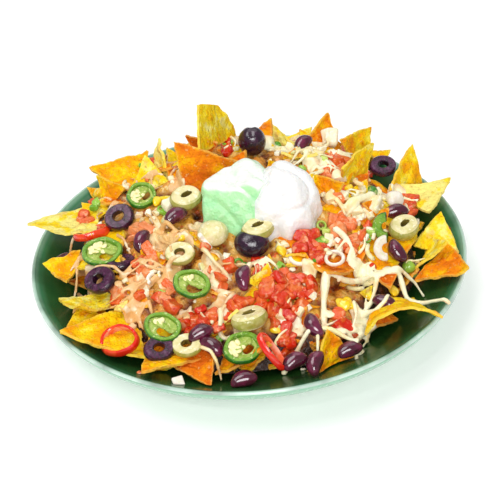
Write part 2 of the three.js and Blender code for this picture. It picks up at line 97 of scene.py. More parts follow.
def mottle_group():
    """Uneven patches: noise of a given grain in millimetres, cut to a mask between low and high."""
    group = bpy.data.node_groups.new("mottle", "ShaderNodeTree")
    group.interface.new_socket("Place", in_out="INPUT", socket_type="NodeSocketVector")
    for name in ("Grain", "Low", "High"):
        group.interface.new_socket(name, in_out="INPUT", socket_type="NodeSocketFloat")
    group.interface.new_socket("Mask", in_out="OUTPUT", socket_type="NodeSocketFloat")
    nodes, link = group.nodes, group.links.new
    given, put = nodes.new("NodeGroupInput"), nodes.new("NodeGroupOutput")
    per_metre = nodes.new("ShaderNodeMath")
    per_metre.operation = "DIVIDE"
    per_metre.inputs[0].default_value = 1 / MM
    cloud = nodes.new("ShaderNodeTexNoise")
    cloud.inputs["Detail"].default_value = 3
    cut = nodes.new("ShaderNodeMapRange")
    cut.interpolation_type = "SMOOTHSTEP"
    link(given.outputs["Grain"], per_metre.inputs[1])
    link(given.outputs["Place"], cloud.inputs["Vector"])
    link(per_metre.outputs[0], cloud.inputs["Scale"])
    link(cloud.outputs["Fac"], cut.inputs["Value"])
    link(given.outputs["Low"], cut.inputs["From Min"])
    link(given.outputs["High"], cut.inputs["From Max"])
    link(cut.outputs["Result"], put.inputs["Mask"])
    return group


MOTTLE = mottle_group()


class Finish:
    """A material under construction: its colour is laid on in coats, one over the other."""

    def __init__(self, name, colour):
        self.material = bpy.data.materials.new(name)
        self.material.use_nodes = True
        self.nodes = self.material.node_tree.nodes
        self.link = self.material.node_tree.links.new
        self.skin = self.nodes["Principled BSDF"]
        self.place = self.nodes.new("ShaderNodeTexCoord").outputs["Object"]
        self.colour = None
        self.ground = ink(colour)
        self.skin.inputs["Base Color"].default_value = self.ground
        self.bump = None

    def mottle(self, grain, low, high):
        """A mask of uneven patches, grain millimetres across."""
        node = self.nodes.new("ShaderNodeGroup")
        node.node_tree = MOTTLE
        self.link(self.place, node.inputs["Place"])
        for name, value in (("Grain", grain), ("Low", low), ("High", high)):
            node.inputs[name].default_value = value
        return node.outputs["Mask"]

    def attribute(self, name, *stops):
        """A value that the mesh carries, through a ramp of (value, result) stops."""
        node = self.nodes.new("ShaderNodeAttribute")
        node.attribute_name = name
        if not stops:
            return node.outputs["Fac"]
        cut = self.nodes.new("ShaderNodeMapRange")
        (cut.inputs["From Min"].default_value, cut.inputs["To Min"].default_value) = stops[0]
        (cut.inputs["From Max"].default_value, cut.inputs["To Max"].default_value) = stops[1]
        self.link(node.outputs["Fac"], cut.inputs["Value"])
        return cut.outputs["Result"]

    def ramp(self, value, stops):
        """A colour picked from a row of (value, colour) stops by a value from 0 to 1."""
        node = self.nodes.new("ShaderNodeValToRGB")
        bar = node.color_ramp.elements
        for i, (at, colour) in enumerate(stops):
            mark = bar[i] if i < 2 else bar.new(at)
            mark.position = at
            mark.color = ink(colour)
        self.link(value, node.inputs["Fac"])
        return node.outputs["Color"]

    def coat(self, mask, colour, strength=1.0):
        """Lays a colour, or another node's colour, over what is there, where the mask shows it."""
        node = self.nodes.new("ShaderNodeMix")
        node.data_type = "RGBA"
        under, over = node.inputs[6], node.inputs[7]
        if self.colour is None:
            under.default_value = self.ground
        else:
            self.link(self.colour, under)
        if isinstance(colour, str):
            over.default_value = ink(colour)
        else:
            self.link(colour, over)
        if mask is None:
            node.inputs[0].default_value = strength
        elif strength == 1:
            self.link(mask, node.inputs[0])
        else:
            thin = self.nodes.new("ShaderNodeMath")
            thin.operation = "MULTIPLY"
            thin.inputs[1].default_value = strength
            self.link(mask, thin.inputs[0])
            self.link(thin.outputs[0], node.inputs[0])
        self.colour = node.outputs[2]
        return self

    def patches(self, grain, low, high, colour, strength=1.0):
        """A coat that lies in uneven patches."""
        return self.coat(self.mottle(grain, low, high), colour, strength)

    def toned(self, value, stops):
        """A coat all over, whose colour a value from 0 to 1 picks."""
        return self.coat(None, self.ramp(value, stops))

    def shifted(self, value, *parts):
        """A value that uneven patches move up or down, each mask by its own weight about its middle."""
        start = self.nodes.new("ShaderNodeMath")
        start.inputs[1].default_value = -sum(weight for _, weight in parts) / 2
        self.link(value, start.inputs[0])
        value = start.outputs[0]
        for mask, weight in parts:
            node = self.nodes.new("ShaderNodeMath")
            node.operation = "MULTIPLY_ADD"
            node.inputs[1].default_value = weight
            self.link(mask, node.inputs[0])
            self.link(value, node.inputs[2])
            value = node.outputs[0]
        return value

    def relief(self, grain, depth):
        """Fine roughness to the touch, depth millimetres deep."""
        node = self.nodes.new("ShaderNodeBump")
        node.inputs["Distance"].default_value = depth * MM
        self.link(self.mottle(grain, 0.2, 0.8), node.inputs["Height"])
        if self.bump is not None:
            self.link(self.bump, node.inputs["Normal"])
        self.bump = node.outputs["Normal"]
        return self

    def done(self, dull, shiny, **constants):
        """Joins it up. Dull and shiny are the roughness of its patches; the rest are constants."""
        if self.colour is not None:
            self.link(self.colour, self.skin.inputs["Base Color"])
        if self.bump is not None:
            self.link(self.bump, self.skin.inputs["Normal"])
        sheen = self.nodes.new("ShaderNodeMapRange")
        sheen.inputs["To Min"].default_value = dull
        sheen.inputs["To Max"].default_value = shiny
        self.link(self.mottle(5, 0.3, 0.7), sheen.inputs["Value"])
        self.link(sheen.outputs["Result"], self.skin.inputs["Roughness"])
        for name, value in constants.items():
            socket = name.replace("_", " ").title().replace("Ior", "IOR")
            self.skin.inputs[socket].default_value = value
        return self.material


def made(add, **size):
    """What a modelling operator adds, with nothing else selected."""
    bpy.ops.object.select_all(action="DESELECT")
    add(**size)
    return bpy.context.object


def coated(piece, *materials):
    """Adds materials to the piece. Its faces wear the first one until they are told otherwise."""
    for material in materials:
        piece.data.materials.append(material)


def stands_for(piece, node):
    """The piece moves with the plate and shows in place of a node."""
    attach(piece, "root")
    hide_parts(node)


def turned(name, profile, segments):
    """A shape from a wheel: a point is drawn along the profile of (radius, height) and spun."""
    piece = made(bpy.ops.mesh.primitive_plane_add, size=1 * MM)
    piece.name = name
    bpy.ops.object.mode_set(mode="EDIT")
    bpy.ops.mesh.merge(type="CENTER")
    radius, height = profile[0]
    bpy.ops.transform.translate(value=(radius * MM, 0, height * MM))
    for next_radius, next_height in profile[1:]:
        step = ((next_radius - radius) * MM, 0, (next_height - height) * MM)
        bpy.ops.mesh.extrude_region_move(TRANSFORM_OT_translate={"value": step})
        radius, height = next_radius, next_height
    bpy.ops.mesh.select_all(action="SELECT")
    bpy.ops.mesh.spin(steps=segments, angle=2 * math.pi, center=(0, 0, 0), axis=(0, 0, 1))
    bpy.ops.mesh.select_all(action="SELECT")
    bpy.ops.mesh.remove_doubles(threshold=0.002 * MM)
    bpy.ops.mesh.normals_make_consistent(inside=False)
    bpy.ops.object.mode_set(mode="OBJECT")
    bpy.ops.object.shade_smooth_by_angle(angle=math.radians(38))
    return piece


def plate_inside(radius):
    """Height of the plate's inside at a distance from its middle."""
    share = max(0, (radius - WELL_RADIUS) / (PLATE_RADIUS - 2 - WELL_RADIUS))
    return WELL_FLOOR + (RIM_HEIGHT - 1 - WELL_FLOOR) * share**SIDE_CURVE


def off_glaze(piece, clear=0.3):
    """Presses what would sink into the plate flat against its glaze."""
    for corner in piece.data.vertices:
        x, y, z = corner.co / MM
        corner.co.z = max(z, plate_inside(math.hypot(x, y)) + clear) * MM
    return piece


def plate_profile():
    """The plate's section: foot ring and underside, lip, then the inside from the rim to the middle."""
    foot = [(0, 2), (FOOT_RADIUS - 9, 2), (FOOT_RADIUS - 7.4, 0.4), (FOOT_RADIUS - 6.6, 0)]
    foot += [(FOOT_RADIUS - 0.6, 0), (FOOT_RADIUS + 0.4, 0.5), (FOOT_RADIUS + 3, 2.6)]
    reach = PLATE_RADIUS - WELL_RADIUS
    under = [WELL_RADIUS + reach * i / 12 for i in range(1, 12)]
    foot += [(radius + 2, max(3, plate_inside(radius) - WALL)) for radius in under]
    lip = [(PLATE_RADIUS - 0.1, RIM_HEIGHT - 2.4), (PLATE_RADIUS, RIM_HEIGHT - 1.4)]
    lip += [(PLATE_RADIUS - 0.4, RIM_HEIGHT - 0.5), (PLATE_RADIUS - 1.2, RIM_HEIGHT)]
    lip += [(PLATE_RADIUS - 2.2, RIM_HEIGHT - 0.3)]
    inside = [WELL_RADIUS + (reach - 3) * (i / 16) ** 0.9 for i in range(16, -1, -1)]
    lip += [(radius, plate_inside(radius)) for radius in inside]
    return foot + lip + [(WELL_RADIUS - 6, WELL_FLOOR - 0.05), (0, WELL_FLOOR)]


def glaze(name, stops):
    """Glaze whose colour changes with the distance from the plate's middle."""
    paint = Finish(name, stops[0][1])
    flat = paint.nodes.new("ShaderNodeVectorMath")
    flat.operation = "MULTIPLY"
    flat.inputs[1].default_value = (1, 1, 0)
    reach = paint.nodes.new("ShaderNodeVectorMath")
    reach.operation = "LENGTH"
    share = paint.nodes.new("ShaderNodeMath")
    share.operation = "DIVIDE"
    share.inputs[1].default_value = PLATE_RADIUS * MM
    paint.link(paint.place, flat.inputs[0])
    paint.link(flat.outputs["Vector"], reach.inputs[0])
    paint.link(reach.outputs["Value"], share.inputs[0])
    paint.toned(share.outputs[0], stops)
    return paint


# Painted highlight, in part: the last stops turn the inside near white at the lip, partly thin glaze there
# and partly the light it catches.
INSIDE_STOPS = [(0.0, "#1d3f16"), (0.86, "#234c1c"), (0.94, "#27572c"), (0.966, "#3f7d55")]
INSIDE_STOPS += [(0.984, "#8ebba0"), (1.0, "#d3e5da")]
OUTSIDE_STOPS = [(0.0, "#a9c6b0"), (0.6, "#b7d6c0"), (0.94, "#bcdcc6"), (1.0, "#8abb9c")]
inner_glaze = glaze("green_glaze", INSIDE_STOPS)
inner_glaze.patches(26, 0.4, 0.7, "#16351a", 0.5)
inner_glaze.patches(1.1, 0.64, 0.74, "#3d6f45", 0.35)
outer_glaze = glaze("mint_glaze", OUTSIDE_STOPS)
outer_glaze.patches(1.4, 0.6, 0.75, "#a3c8ae", 0.5)

plate = turned("glazed_plate", plate_profile(), 128)
inner_glaze = inner_glaze.relief(30, 0.25).done(0.2, 0.27, coat_weight=0.15)
outer_glaze = outer_glaze.relief(30, 0.25).done(0.22, 0.3, coat_weight=0.3)
coated(plate, inner_glaze, outer_glaze)
for face in plate.data.polygons:
    low = face.center.z < (plate_inside(face.center.to_2d().length / MM) - 1) * MM
    face.material_index = 1 if low or face.normal.z < 0.1 else 0
stands_for(plate, "plate")


# ---- The core of the heap -----------------------------------------------------------------------
# What fills the plate under the chips that show: melted cheese run over broken chips and salsa.
# It is all one lump, with the dice that it covers standing out as bumps.

HEAP_RADIUS = 124
CORE_SHARE = 0.9  # the core stops short of the chips that lie round its edge
HEAP_EDGE = 24
HEAP_RISE = 38
HEAP_LEAN = 0.16  # how much more it rises for each millimetre towards the far side
HEAP_BACK = 6  # how far its middle lies behind the plate's
HEAP_SHOULDER = 2.8  # the higher, the flatter the top and the steeper the edge
CORE_RINGS = 104
CORE_SPOKES = 230


def heap_top(x, y):
    """Height of the heap's even slope at x, y."""
    share = min(1, math.hypot(x, y - HEAP_BACK) / HEAP_RADIUS)
    return HEAP_EDGE + (HEAP_RISE + HEAP_LEAN * y) * (1 - share**HEAP_SHOULDER)


def ruffle(x, y, z, grain, seed=0):
    """Smooth noise from about -1 to 1 with bumps grain millimetres across."""
    return noise.noise(Vector((x / grain + seed * 7.3, y / grain - seed * 3.1, z / grain + seed)))


def lumps(x, y):
    """How far the covered dice and folds of cheese stand out of the heap's even slope."""
    return 3.4 * abs(ruffle(x, y, 0, 14)) + 3.2 * ruffle(x, y, 0, 8, 1) + 1.5 * ruffle(x, y, 0, 3.6, 2)


def within(value):
    """The value, held between 0 and 1."""
    return min(1, max(0, value))


def marked(piece, name):
    """A value for each point of the piece, to be filled in point by point."""
    return piece.data.attributes.new(name, "FLOAT", "POINT")


def heap_core():
    """A disc cut fine, its top raised to the slope with its lumps, its underside just off the glaze."""
    radius = HEAP_RADIUS * CORE_SHARE
    profile = [(radius * i / CORE_RINGS, 40) for i in range(CORE_RINGS + 1)]
    under = [(radius * (1 - i / 12), 10) for i in range(1, 13)]
    core = turned("melted_cheese_core", profile + under, CORE_SPOKES)
    hollow = marked(core, "hollow")
    for corner in core.data.vertices:
        x, y, z = corner.co / MM
        share = math.hypot(x, y) / radius
        angle = math.atan2(y, x)
        uneven = 0.97 - 0.035 * math.sin(angle * 5 + 1) * math.cos(angle * 3)
        x *= uneven
        y = y * uneven + HEAP_BACK * 0.6 * share
        glaze_top = plate_inside(math.hypot(x, y)) + 1.4
        if z < 20:
            corner.co = Vector((x, y, glaze_top)) * MM
            hollow.data[corner.index].value = 1
            continue
        raised = lumps(x, y)
        slump = 9 * max(0, (share - 0.86) / 0.14) ** 1.5
        top = heap_top(x, y) - 1.5 + raised * min(1, (1 - share) * 5) - slump
        corner.co = Vector((x, y, max(glaze_top + 1.5, top))) * MM
        # Painted shade: how deep a point sits among the lumps, and how near the edge, sets how dark it is
        # painted.
        sunk = (1.9 - raised) / 3.8 + max(0, (share - 0.8) / 0.18)
        hollow.data[corner.index].value = within(sunk)
    return core


def soaked(weight, *reach):
    """Settings for light that sinks in: how much of it, and how many millimetres red, green and blue go."""
    far = [colour * MM for colour in reach]
    return {"subsurface_weight": weight, "subsurface_radius": far, "subsurface_scale": 1}


def heaped(piece, material):
    """A finished piece that shows in place of the heap."""
    coated(piece, material)
    stands_for(piece, "nacho_heap")


core = heap_core()
melt = Finish("melted_cheese_and_salsa", "#e2a840")
melt.patches(16, 0.42, 0.6, "#d88628", 0.7)
melt.patches(9, 0.52, 0.64, "#eabc62", 0.8)
melt.patches(7, 0.57, 0.64, "#de5a26", 0.9)
melt.patches(5, 0.6, 0.67, "#f4d894", 0.9)
melt.patches(4, 0.62, 0.69, "#8c4c18", 0.8)
# Painted shade: the core turns brown in its hollows, towards its edge and underneath, and near black in the
# deepest of them.
melt.coat(melt.attribute("hollow", (0.15, 0), (0.7, 1)), "#76300a", 0.9)
melt.coat(melt.attribute("hollow", (0.6, 0), (0.95, 1)), "#280e04", 0.95)
melt = melt.relief(3.6, 1.0).relief(1.2, 0.25).done(0.22, 0.4, **soaked(0.12, 5, 4, 2))
heaped(core, melt)


# ---- Tortilla chips -----------------------------------------------------------------------------
# Triangles cut from flat corn bread and fried, so each one curls, blisters and browns over its blisters.
# They are pushed into the heap on their corners or lie on it like tiles.

CHIP_THICKNESS = 1.6
GOLDEN_ANGLE = 137.5
CORNERS = [(math.cos(math.radians(a)), math.sin(math.radians(a))) for a in (90, 210, 330)]

# Each has its middle, spin, lean and yaw, its side, how far its sides curl up, and how brown it is.
CHIPS = [
    # At the back, from left to right.
    ((-54, 59, 62), 21, 79, -63, 38, 2, 0.02),
    ((-26, 62, 73), 59, 88, -27, 26, 1, 0.95),
    ((-18, 69, 89.5), -19, 70, 68, 58, 2, 0.27),  # the tallest, with its tip broken off
    ((8, 68, 63), 200, 30, 10, 48, 9, 0.7),  # cups the whole olive
    ((25, 84, 56), 38, 67, -35, 38, 3, 0.06),
    ((57, 81, 58), 323, 58, 38, 42, 5, 0.66),
    ((80, 77, 56), 291, 68, 45, 36, 2, 0.42),
    ((111, 54, 43), 326, 73, 45, 42, 4, 0.36),
    # Beside and behind the cream.
    ((-79, 62, 59), 48, 11, 31, 46, 4, 0.48),
    ((-62, 46, 64), 20, 41, -18, 30, 4, 0.22),
    ((-27, 31, 76), 45, 62, -11, 47, 3, 0.76),
    ((75, 41, 60), 297, 87, 49, 44, 3, 0.34),
    ((52, 17, 62), 70, 66, -51, 32, 2, 0.5),
    ((-89, 48, 54), 54, 70, -33, 26, 2, 0.4),
    # On the right, over the rim.
    ((119, 36, 41), 24, 6, -83, 44, 4, 0.02),
    ((120.3, -15, 42), 345, 49, 2, 32, 6, 0.24),
    ((121, -39, 37.5), 81, 22.5, -97, 40, 2, 0.66),
    ((114.5, -26, 39), 345, 50, -104.5, 32, 5, 0.26),
    # In front, from right to left.
    ((87, -80, 38), 0, -28, 4, 50, -12, 0.34),  # arches over the rim of the heap
    ((45, -104, 29), 350, 67, 35, 30, 5, 0.6),
    ((-7, -101, 32), 56, -23, 68, 40, 3, 0.82),
    # Painted shade: the next two chips are given a browner tone, for the shade they lie in at the front of
    # the heap.
    ((-34, -107, 31), 222, 21, -22, 34, 3, 0.92),
    ((-52, -98, 32), 137, -8, 8, 48, -4, 0.6),
    ((-85, -75, 33), 177, -14, -79, 61, 3, 0.42),  # under the chilli ring
    ((-102, -62, 30), 130, 10, 0, 38, 2, 0.36),
    # On the left.
    ((-102, -49, 37), 70, -21, -14, 42, 8, 0.2),
    ((-118, -13, 39), 69, 21, 2, 28, 7, 0.5),
    ((-113, 27, 46), 101, -11, -14, 58, 4, 0.04),  # its long corner lies past the rim
    # On the far side, down to the rim.
    ((-88, 78, 37), 20, -30, 48, 48, 4, 0.5),
    ((-50, 102, 38), 66, -34, 24, 50, -4, 0.4),
    ((-8, 112, 44), 10, -52, -6, 50, 5, 0.6),
    ((38, 110, 42), 44, -30, -26, 50, 4, 0.45),
    ((84, 96, 40), 82, -44, -40, 46, 5, 0.35),
    # In the middle, among the toppings.
    ((51, -44, 52), 116, -10, -57, 52, 9, 0.8),  # holds diced tomato
    ((-22, -26, 56), 140, -28, -79, 42, 5, 0.42),
    ((84, -30, 46), 12, 18, 44, 46, -4, 0.5),
    # Behind the cream, under melted cheese.
    ((34, 84, 54), 200, 24, -10, 40, 3, 0.12),
    ((51.5, 55, 61), 246, 21.5, 83, 40, -3, 0.3),
    ((-14, 88, 52), 20, 24, 16, 38, 4, 0.3),
]
UNDER_CHIPS = 22
TILES = 16
TILES_ON_TOP = 5  # the first of them lie on the heap, and the others are sunk in it
TALLEST = 2
BREAK_LEFT = 0.61  # where the tallest chip's break meets its sides, as a share of the way up
BREAK_RIGHT = 0.5


def posed(at, spin=0, lean=0, yaw=0, size=1):
    """The place of a piece that is sized, spun in its plane, leant up, turned about and moved."""
    turn = Matrix.Rotation(math.radians(yaw), 4, "Z") @ Matrix.Rotation(math.radians(lean), 4, "X")
    turn @= Matrix.Rotation(math.radians(spin), 4, "Z")
    return Matrix.Translation(Vector(at) * MM) @ turn @ Matrix.Scale(size, 4)


def chance(seed):
    """A number from 0 to 1 that looks like chance, and is always the same for one seed."""
    wave = math.sin(seed * 12.9898 + 4.1414) * 43758.5453
    return wave - math.floor(wave)


def copied(model, name):
    """A copy with a mesh of its own."""
    piece = model.copy()
    piece.data = model.data.copy()
    piece.name = name
    scene.collection.objects.link(piece)
    return piece


def picked(piece):
    """Leaves only this piece selected, for the operators that follow."""
    bpy.ops.object.select_all(action="DESELECT")
    piece.select_set(True)
    bpy.context.view_layer.objects.active = piece
    return piece


def worked(piece, kind, **settings):
    """Puts a modifier on the piece that is selected, and applies it."""
    tool = piece.modifiers.new("tool", kind)
    for name, value in settings.items():
        setattr(tool, name, value)
    bpy.ops.object.modifier_apply(modifier="tool")


def joined(pieces, name):
    """Makes the pieces one piece."""
    picked(pieces[0])
    for piece in pieces[1:]:
        piece.select_set(True)
    bpy.ops.object.join()
    pieces[0].name = name
    return pieces[0]


def carry(piece, name, value):
    """Every point of the piece carries the same value under that name."""
    mesh = piece.data
    layer = mesh.attributes.get(name) or mesh.attributes.new(name, "FLOAT", "POINT")
    layer.data.foreach_set("value", [value] * len(mesh.vertices))


def dropped(*models):
    """Takes away the models once their copies are made."""
    for model in models:
        bpy.data.objects.remove(model)


def chip_sheet(cuts=29):
    """A flat triangle of dough with one corner towards +Y, cut fine enough to curl."""
    sheet = made(bpy.ops.mesh.primitive_circle_add, vertices=3, radius=1, fill_type="NGON")
    bpy.ops.object.mode_set(mode="EDIT")
    bpy.ops.mesh.subdivide(number_cuts=cuts)
    bpy.ops.object.mode_set(mode="OBJECT")
    return sheet


def fried(sheet, size, curl, seed, broken=False):
    """A copy of the sheet at its size, curled, blistered and given its thickness."""
    piece = picked(copied(sheet, "chip"))
    reach = size / math.sqrt(3)
    if broken:
        left = Vector(CORNERS[0]) * BREAK_LEFT + Vector(CORNERS[1]) * (1 - BREAK_LEFT)
        right = Vector(CORNERS[0]) * BREAK_RIGHT + Vector(CORNERS[2]) * (1 - BREAK_RIGHT)
        across = right - left
        bpy.ops.object.mode_set(mode="EDIT")
        bpy.ops.mesh.select_all(action="SELECT")
        bpy.ops.mesh.bisect(
            plane_co=(left.x, left.y, 0), plane_no=(-across.y, across.x, 0), clear_outer=True
        )
        bpy.ops.object.mode_set(mode="OBJECT")
    draw = random.Random(seed)
    blisters = [
        (draw.uniform(-0.75, 0.75) * reach, draw.uniform(-0.75, 0.75) * reach, draw.uniform(1.6, 4.2))
        for _ in range(int(8 + size / 4))
    ]
    edge_layer = marked(piece, "edge")
    toast_layer = marked(piece, "toast")
    for corner in piece.data.vertices:
        x, y = corner.co.x, corner.co.y
        weights = [(1 + 2 * (x * cx + y * cy)) / 3 for cx, cy in CORNERS]
        edge = 1 - 3 * min(weights)
        blunt = 1 - 0.06 * max(weights) ** 6
        crumbly = 0.045 * edge**5 * (0.5 + ruffle(x * reach, y * reach, 0, 2.4, seed))
        wander = (0.02 if broken else 0.06) * edge**2 * ruffle(x * reach, y * reach, 0, 12, seed + 4)
        x *= reach * (blunt - crumbly + wander)
        y *= reach * (blunt - crumbly + wander)
        z = curl * ((4 * (x * x + 0.4 * y * x)) / (size * size) - 0.25)
        z += 1.9 * ruffle(x, y, 0, 19, seed) + 1.0 * ruffle(x, y, 0, 7.5, seed + 1)
        z += 0.5 * ruffle(x, y, 0, 2.8, seed + 2)
        toast = 0
        for bx, by, wide in blisters:
            bump = math.exp(-1.8 * ((x - bx) ** 2 + (y - by) ** 2) / (wide * wide))
            z += 0.3 * wide * bump
            toast = max(toast, bump)
        corner.co = Vector((x, y, z)) * MM
        edge_layer.data[corner.index].value = edge
        toast_layer.data[corner.index].value = toast
    worked(piece, "SOLIDIFY", thickness=CHIP_THICKNESS * MM, offset=0)
    bpy.ops.object.shade_smooth_by_angle(angle=math.radians(50))
    return piece


def chips():
    """The chips that show, then those under the heap's edge, then those that lie like tiles."""
    sheet = chip_sheet()
    fried_chips = []
    for i, (at, spin, lean, yaw, size, curl, tone) in enumerate(CHIPS):
        piece = fried(sheet, size, curl, i, broken=i == TALLEST)
        piece.data.transform(posed(at, spin, lean, yaw))
        carry(piece, "tone", tone)
        fried_chips.append(piece)
    # Chips that stick out from under the heap all round its edge, with a dark gap over the plate.
    for i in range(UNDER_CHIPS):
        angle = 360 * (i + 0.5 * chance(i + 200)) / UNDER_CHIPS
        reach = 92 + 9 * chance(i + 210)
        x, y = reach * math.cos(math.radians(angle)), reach * math.sin(math.radians(angle)) + 2
        lean = -10 - 22 * chance(i + 220)
        up = plate_inside(reach) + 8 + 6 * chance(i + 230)
        piece = fried(sheet, 34 + 10 * chance(i + 240), 4 - 8 * chance(i + 250), 100 + i)
        piece.data.transform(posed((x, y, up), 120 * chance(i + 260), lean, angle + 90))
        carry(piece, "tone", 0.45 + 0.4 * chance(i + 270))
        fried_chips.append(piece)
    # Chips that lie on the heap like tiles, all the way round, spaced by the golden angle.
    for i in range(TILES):
        angle = i * GOLDEN_ANGLE
        reach = HEAP_RADIUS * (0.62 + 0.26 * chance(i + 50))
        x = reach * math.cos(math.radians(angle))
        y = HEAP_BACK + reach * math.sin(math.radians(angle))
        size = 40 + 12 * chance(i + 70)
        lean = 20 + 22 * chance(i + 90)
        low = 1 if i < TILES_ON_TOP else -4
        piece = fried(sheet, size, 6 * chance(i + 30) - 1, 60 + i)
        piece.data.transform(posed((x, y, heap_top(x, y) + low), 360 * chance(i + 20), lean, angle + 90))
        carry(piece, "tone", 0.25 + 0.5 * chance(i + 7))
        fried_chips.append(piece)
    dropped(sheet)
    return off_glaze(joined(fried_chips, "tortilla_chips"), 1.2)


chip_finish = Finish("fried_corn", "#fbae00")
chip_tones = [(0.0, "#fbee86"), (0.16, "#fce22c"), (0.34, "#fdd000"), (0.5, "#fcb400")]
chip_tones += [(0.75, "#f48804"), (1.0, "#da6408")]
large_patches = chip_finish.mottle(16, 0.38, 0.64), 0.3
small_patches = chip_finish.mottle(7, 0.42, 0.64), -0.22
grains = chip_finish.mottle(2.2, 0.45, 0.64), 0.1
browning = chip_finish.shifted(chip_finish.attribute("tone"), large_patches, small_patches, grains)
chip_finish.toned(browning, chip_tones)
chip_finish.coat(chip_finish.attribute("toast", (0.45, 0), (1.0, 1)), "#e88408", 0.4)
chip_finish.patches(2.2, 0.6, 0.7, "#fff09c", 0.3)
chip_finish.patches(3.6, 0.63, 0.72, "#c4600c", 0.5)
chip_finish.patches(1.2, 0.67, 0.75, "#8a4004", 0.6)
# Painted highlight: each chip's very edge is painted pale yellow, for the light it catches there.
chip_finish.coat(chip_finish.attribute("edge", (0.9, 0), (1.0, 0.6)), "#fbe070", 0.6)
chips_piece = chips()
chip_finish = chip_finish.relief(3.4, 0.9).relief(1.2, 0.4).done(0.6, 0.8, specular_ior_level=0.15)
heaped(chips_piece, chip_finish)


# ---- Black olives -------------------------------------------------------------------------------
# One whole olive, rings cut from stoned ones and half of one. The skin is purple-black and wet, the
# cut flesh plum with fine streaks that run out from the hole.

BLACK_OLIVES = {
    "black_olive_ring_1": ((-81, 11.5, 57.4), 20, 34, -20, 1.08),
    "black_olive_ring_2": ((-93, -38, 45), 10, 26, -52, 1.14),
    "black_olive_ring_3": ((-56.5, -99, 37.3), 0, 20, 20),
    "black_olive_ring_4": ((-80, -24, 47), 0, -10, 20),
    "black_olive_ring_5": ((95.3, 63.5, 47.5), 0, 20, 10),
}
OLIVE_AT = (8, 62, 76)
OLIVE_RADIUS = 9.3


def ring_profile(radius, hole, thickness, belly):
    """The section of a slice with a hole: flat cut faces, and an outside that swells by belly."""
    half = thickness / 2
    bevel = 0.45
    rows = [hole + bevel + (radius - belly - hole - 2 * bevel) * i / 4 for i in range(5)]
    outside = []
    for angle in (-66, -44, -22, 0, 22, 44, 66):
        bulge = math.sin(math.radians(angle)) / math.sin(math.radians(66))
        outside.append((radius - belly * bulge * bulge, (half - bevel) * bulge))
    bottom = [(row, -half) for row in rows]
    top = [(row, half) for row in reversed(rows)]
    inner = [(hole, half - bevel), (hole, 0), (hole, bevel - half)]
    return [*bottom, *outside, *top, *inner, bottom[0]]


def wobbled(piece, seed, depth=0.4, grain=8):
    """Pushes the points about so that no two slices are alike."""
    for corner in piece.data.vertices:
        x, y, z = corner.co / MM
        push = [ruffle(x, y, z, grain, seed + k) * depth for k in (0, 11, 23)]
        corner.co += Vector(push) * MM
    return piece


def painted_by_place(piece, flesh, inside):
    """The skin is the first material; faces that lie flat are flesh, and those in the hole inside."""
    for face in piece.data.polygons:
        outward = face.center.to_2d().normalized().dot(face.normal.to_2d())
        if abs(face.normal.z) > 0.6:
            face.material_index = flesh
        elif outward < -0.3:
            face.material_index = inside
        else:
            face.material_index = 0


def sliced(name, model, pose, seed, depth=0.4):
    """A copy of a slice in its place on the heap, standing for its node."""
    piece = wobbled(copied(model, name + "_piece"), seed, depth)
    piece.data.transform(posed(*pose))
    stands_for(off_glaze(piece), name)
    top_pieces.append(piece)


def sliced_each(poses, model, seed, depth=0.4):
    """Copies of one slice in all these poses, their seeds counted up from the first one's."""
    for i, (name, pose) in enumerate(poses.items()):
        sliced(name, model, pose, seed + i, depth)


def ball(segments, rings, radius):
    """A smooth ball to be shaped, its radius in millimetres."""
    add = bpy.ops.mesh.primitive_uv_sphere_add
    piece = made(add, segments=segments, ring_count=rings, radius=radius * MM)
    bpy.ops.object.shade_smooth()
    return piece


top_pieces = []  # the large toppings, which small things don't land on
black_skin = Finish("black_olive_skin", "#220b20")
black_skin.patches(6, 0.45, 0.7, "#421438", 0.7)
black_skin = black_skin.relief(1.5, 0.12).done(0.12, 0.24, coat_weight=0.5, coat_roughness=0.1)
plum = Finish("black_olive_flesh", "#451336")
plum.patches(4, 0.45, 0.65, "#541c44", 0.6)
plum.coat(plum.attribute("streak", (0.5, 0), (0.8, 1)), "#220a1c", 0.85)
plum.coat(plum.attribute("streak", (0.1, 1), (0.34, 0)), "#7c5474", 0.35)
plum = plum.relief(2, 0.2).done(0.2, 0.34)

ring_section = ring_profile(radius=9.5, hole=3.4, thickness=5, belly=0.9)
olive_ring = turned("olive_ring_model", ring_section, 64)
streak = marked(olive_ring, "streak")
for corner in olive_ring.data.vertices:
    x, y, z = corner.co / MM
    angle, reach = math.atan2(y, x), math.hypot(x, y)
    fine = 0.45 + 0.8 * ruffle(5 * math.cos(angle), 5 * math.sin(angle), reach * 0.5, 1)
    fine += 0.35 * ruffle(x, y, z, 1.6, 4)
    rim = 0.5 * max(0, (reach - 8) / 1.5) + 0.5 * max(0, (4.6 - reach) / 1.2)
    streak.data[corner.index].value = within(fine + rim)
olive_ring.data.transform(Matrix.Diagonal((1, 0.9, 1, 1)))
coated(olive_ring, black_skin, plum)
painted_by_place(olive_ring, flesh=1, inside=0)
sliced_each(BLACK_OLIVES, olive_ring, 0)

whole = ball(40, 28, OLIVE_RADIUS)
whole.name = "black_olive_whole_piece"
whole.data.transform(Matrix.Diagonal((1, 0.95, 1.1, 1)))
for corner in whole.data.vertices:
    x, y, z = corner.co / MM
    dent = 0.9 * math.exp(-((x * x + (z - 9) ** 2) / 3))
    corner.co *= 1 - dent / OLIVE_RADIUS + 0.012 * ruffle(x, y, z, 7)
whole.data.transform(posed(OLIVE_AT))
coated(whole, black_skin)
stands_for(whole, "black_olive_whole")
top_pieces.append(whole)


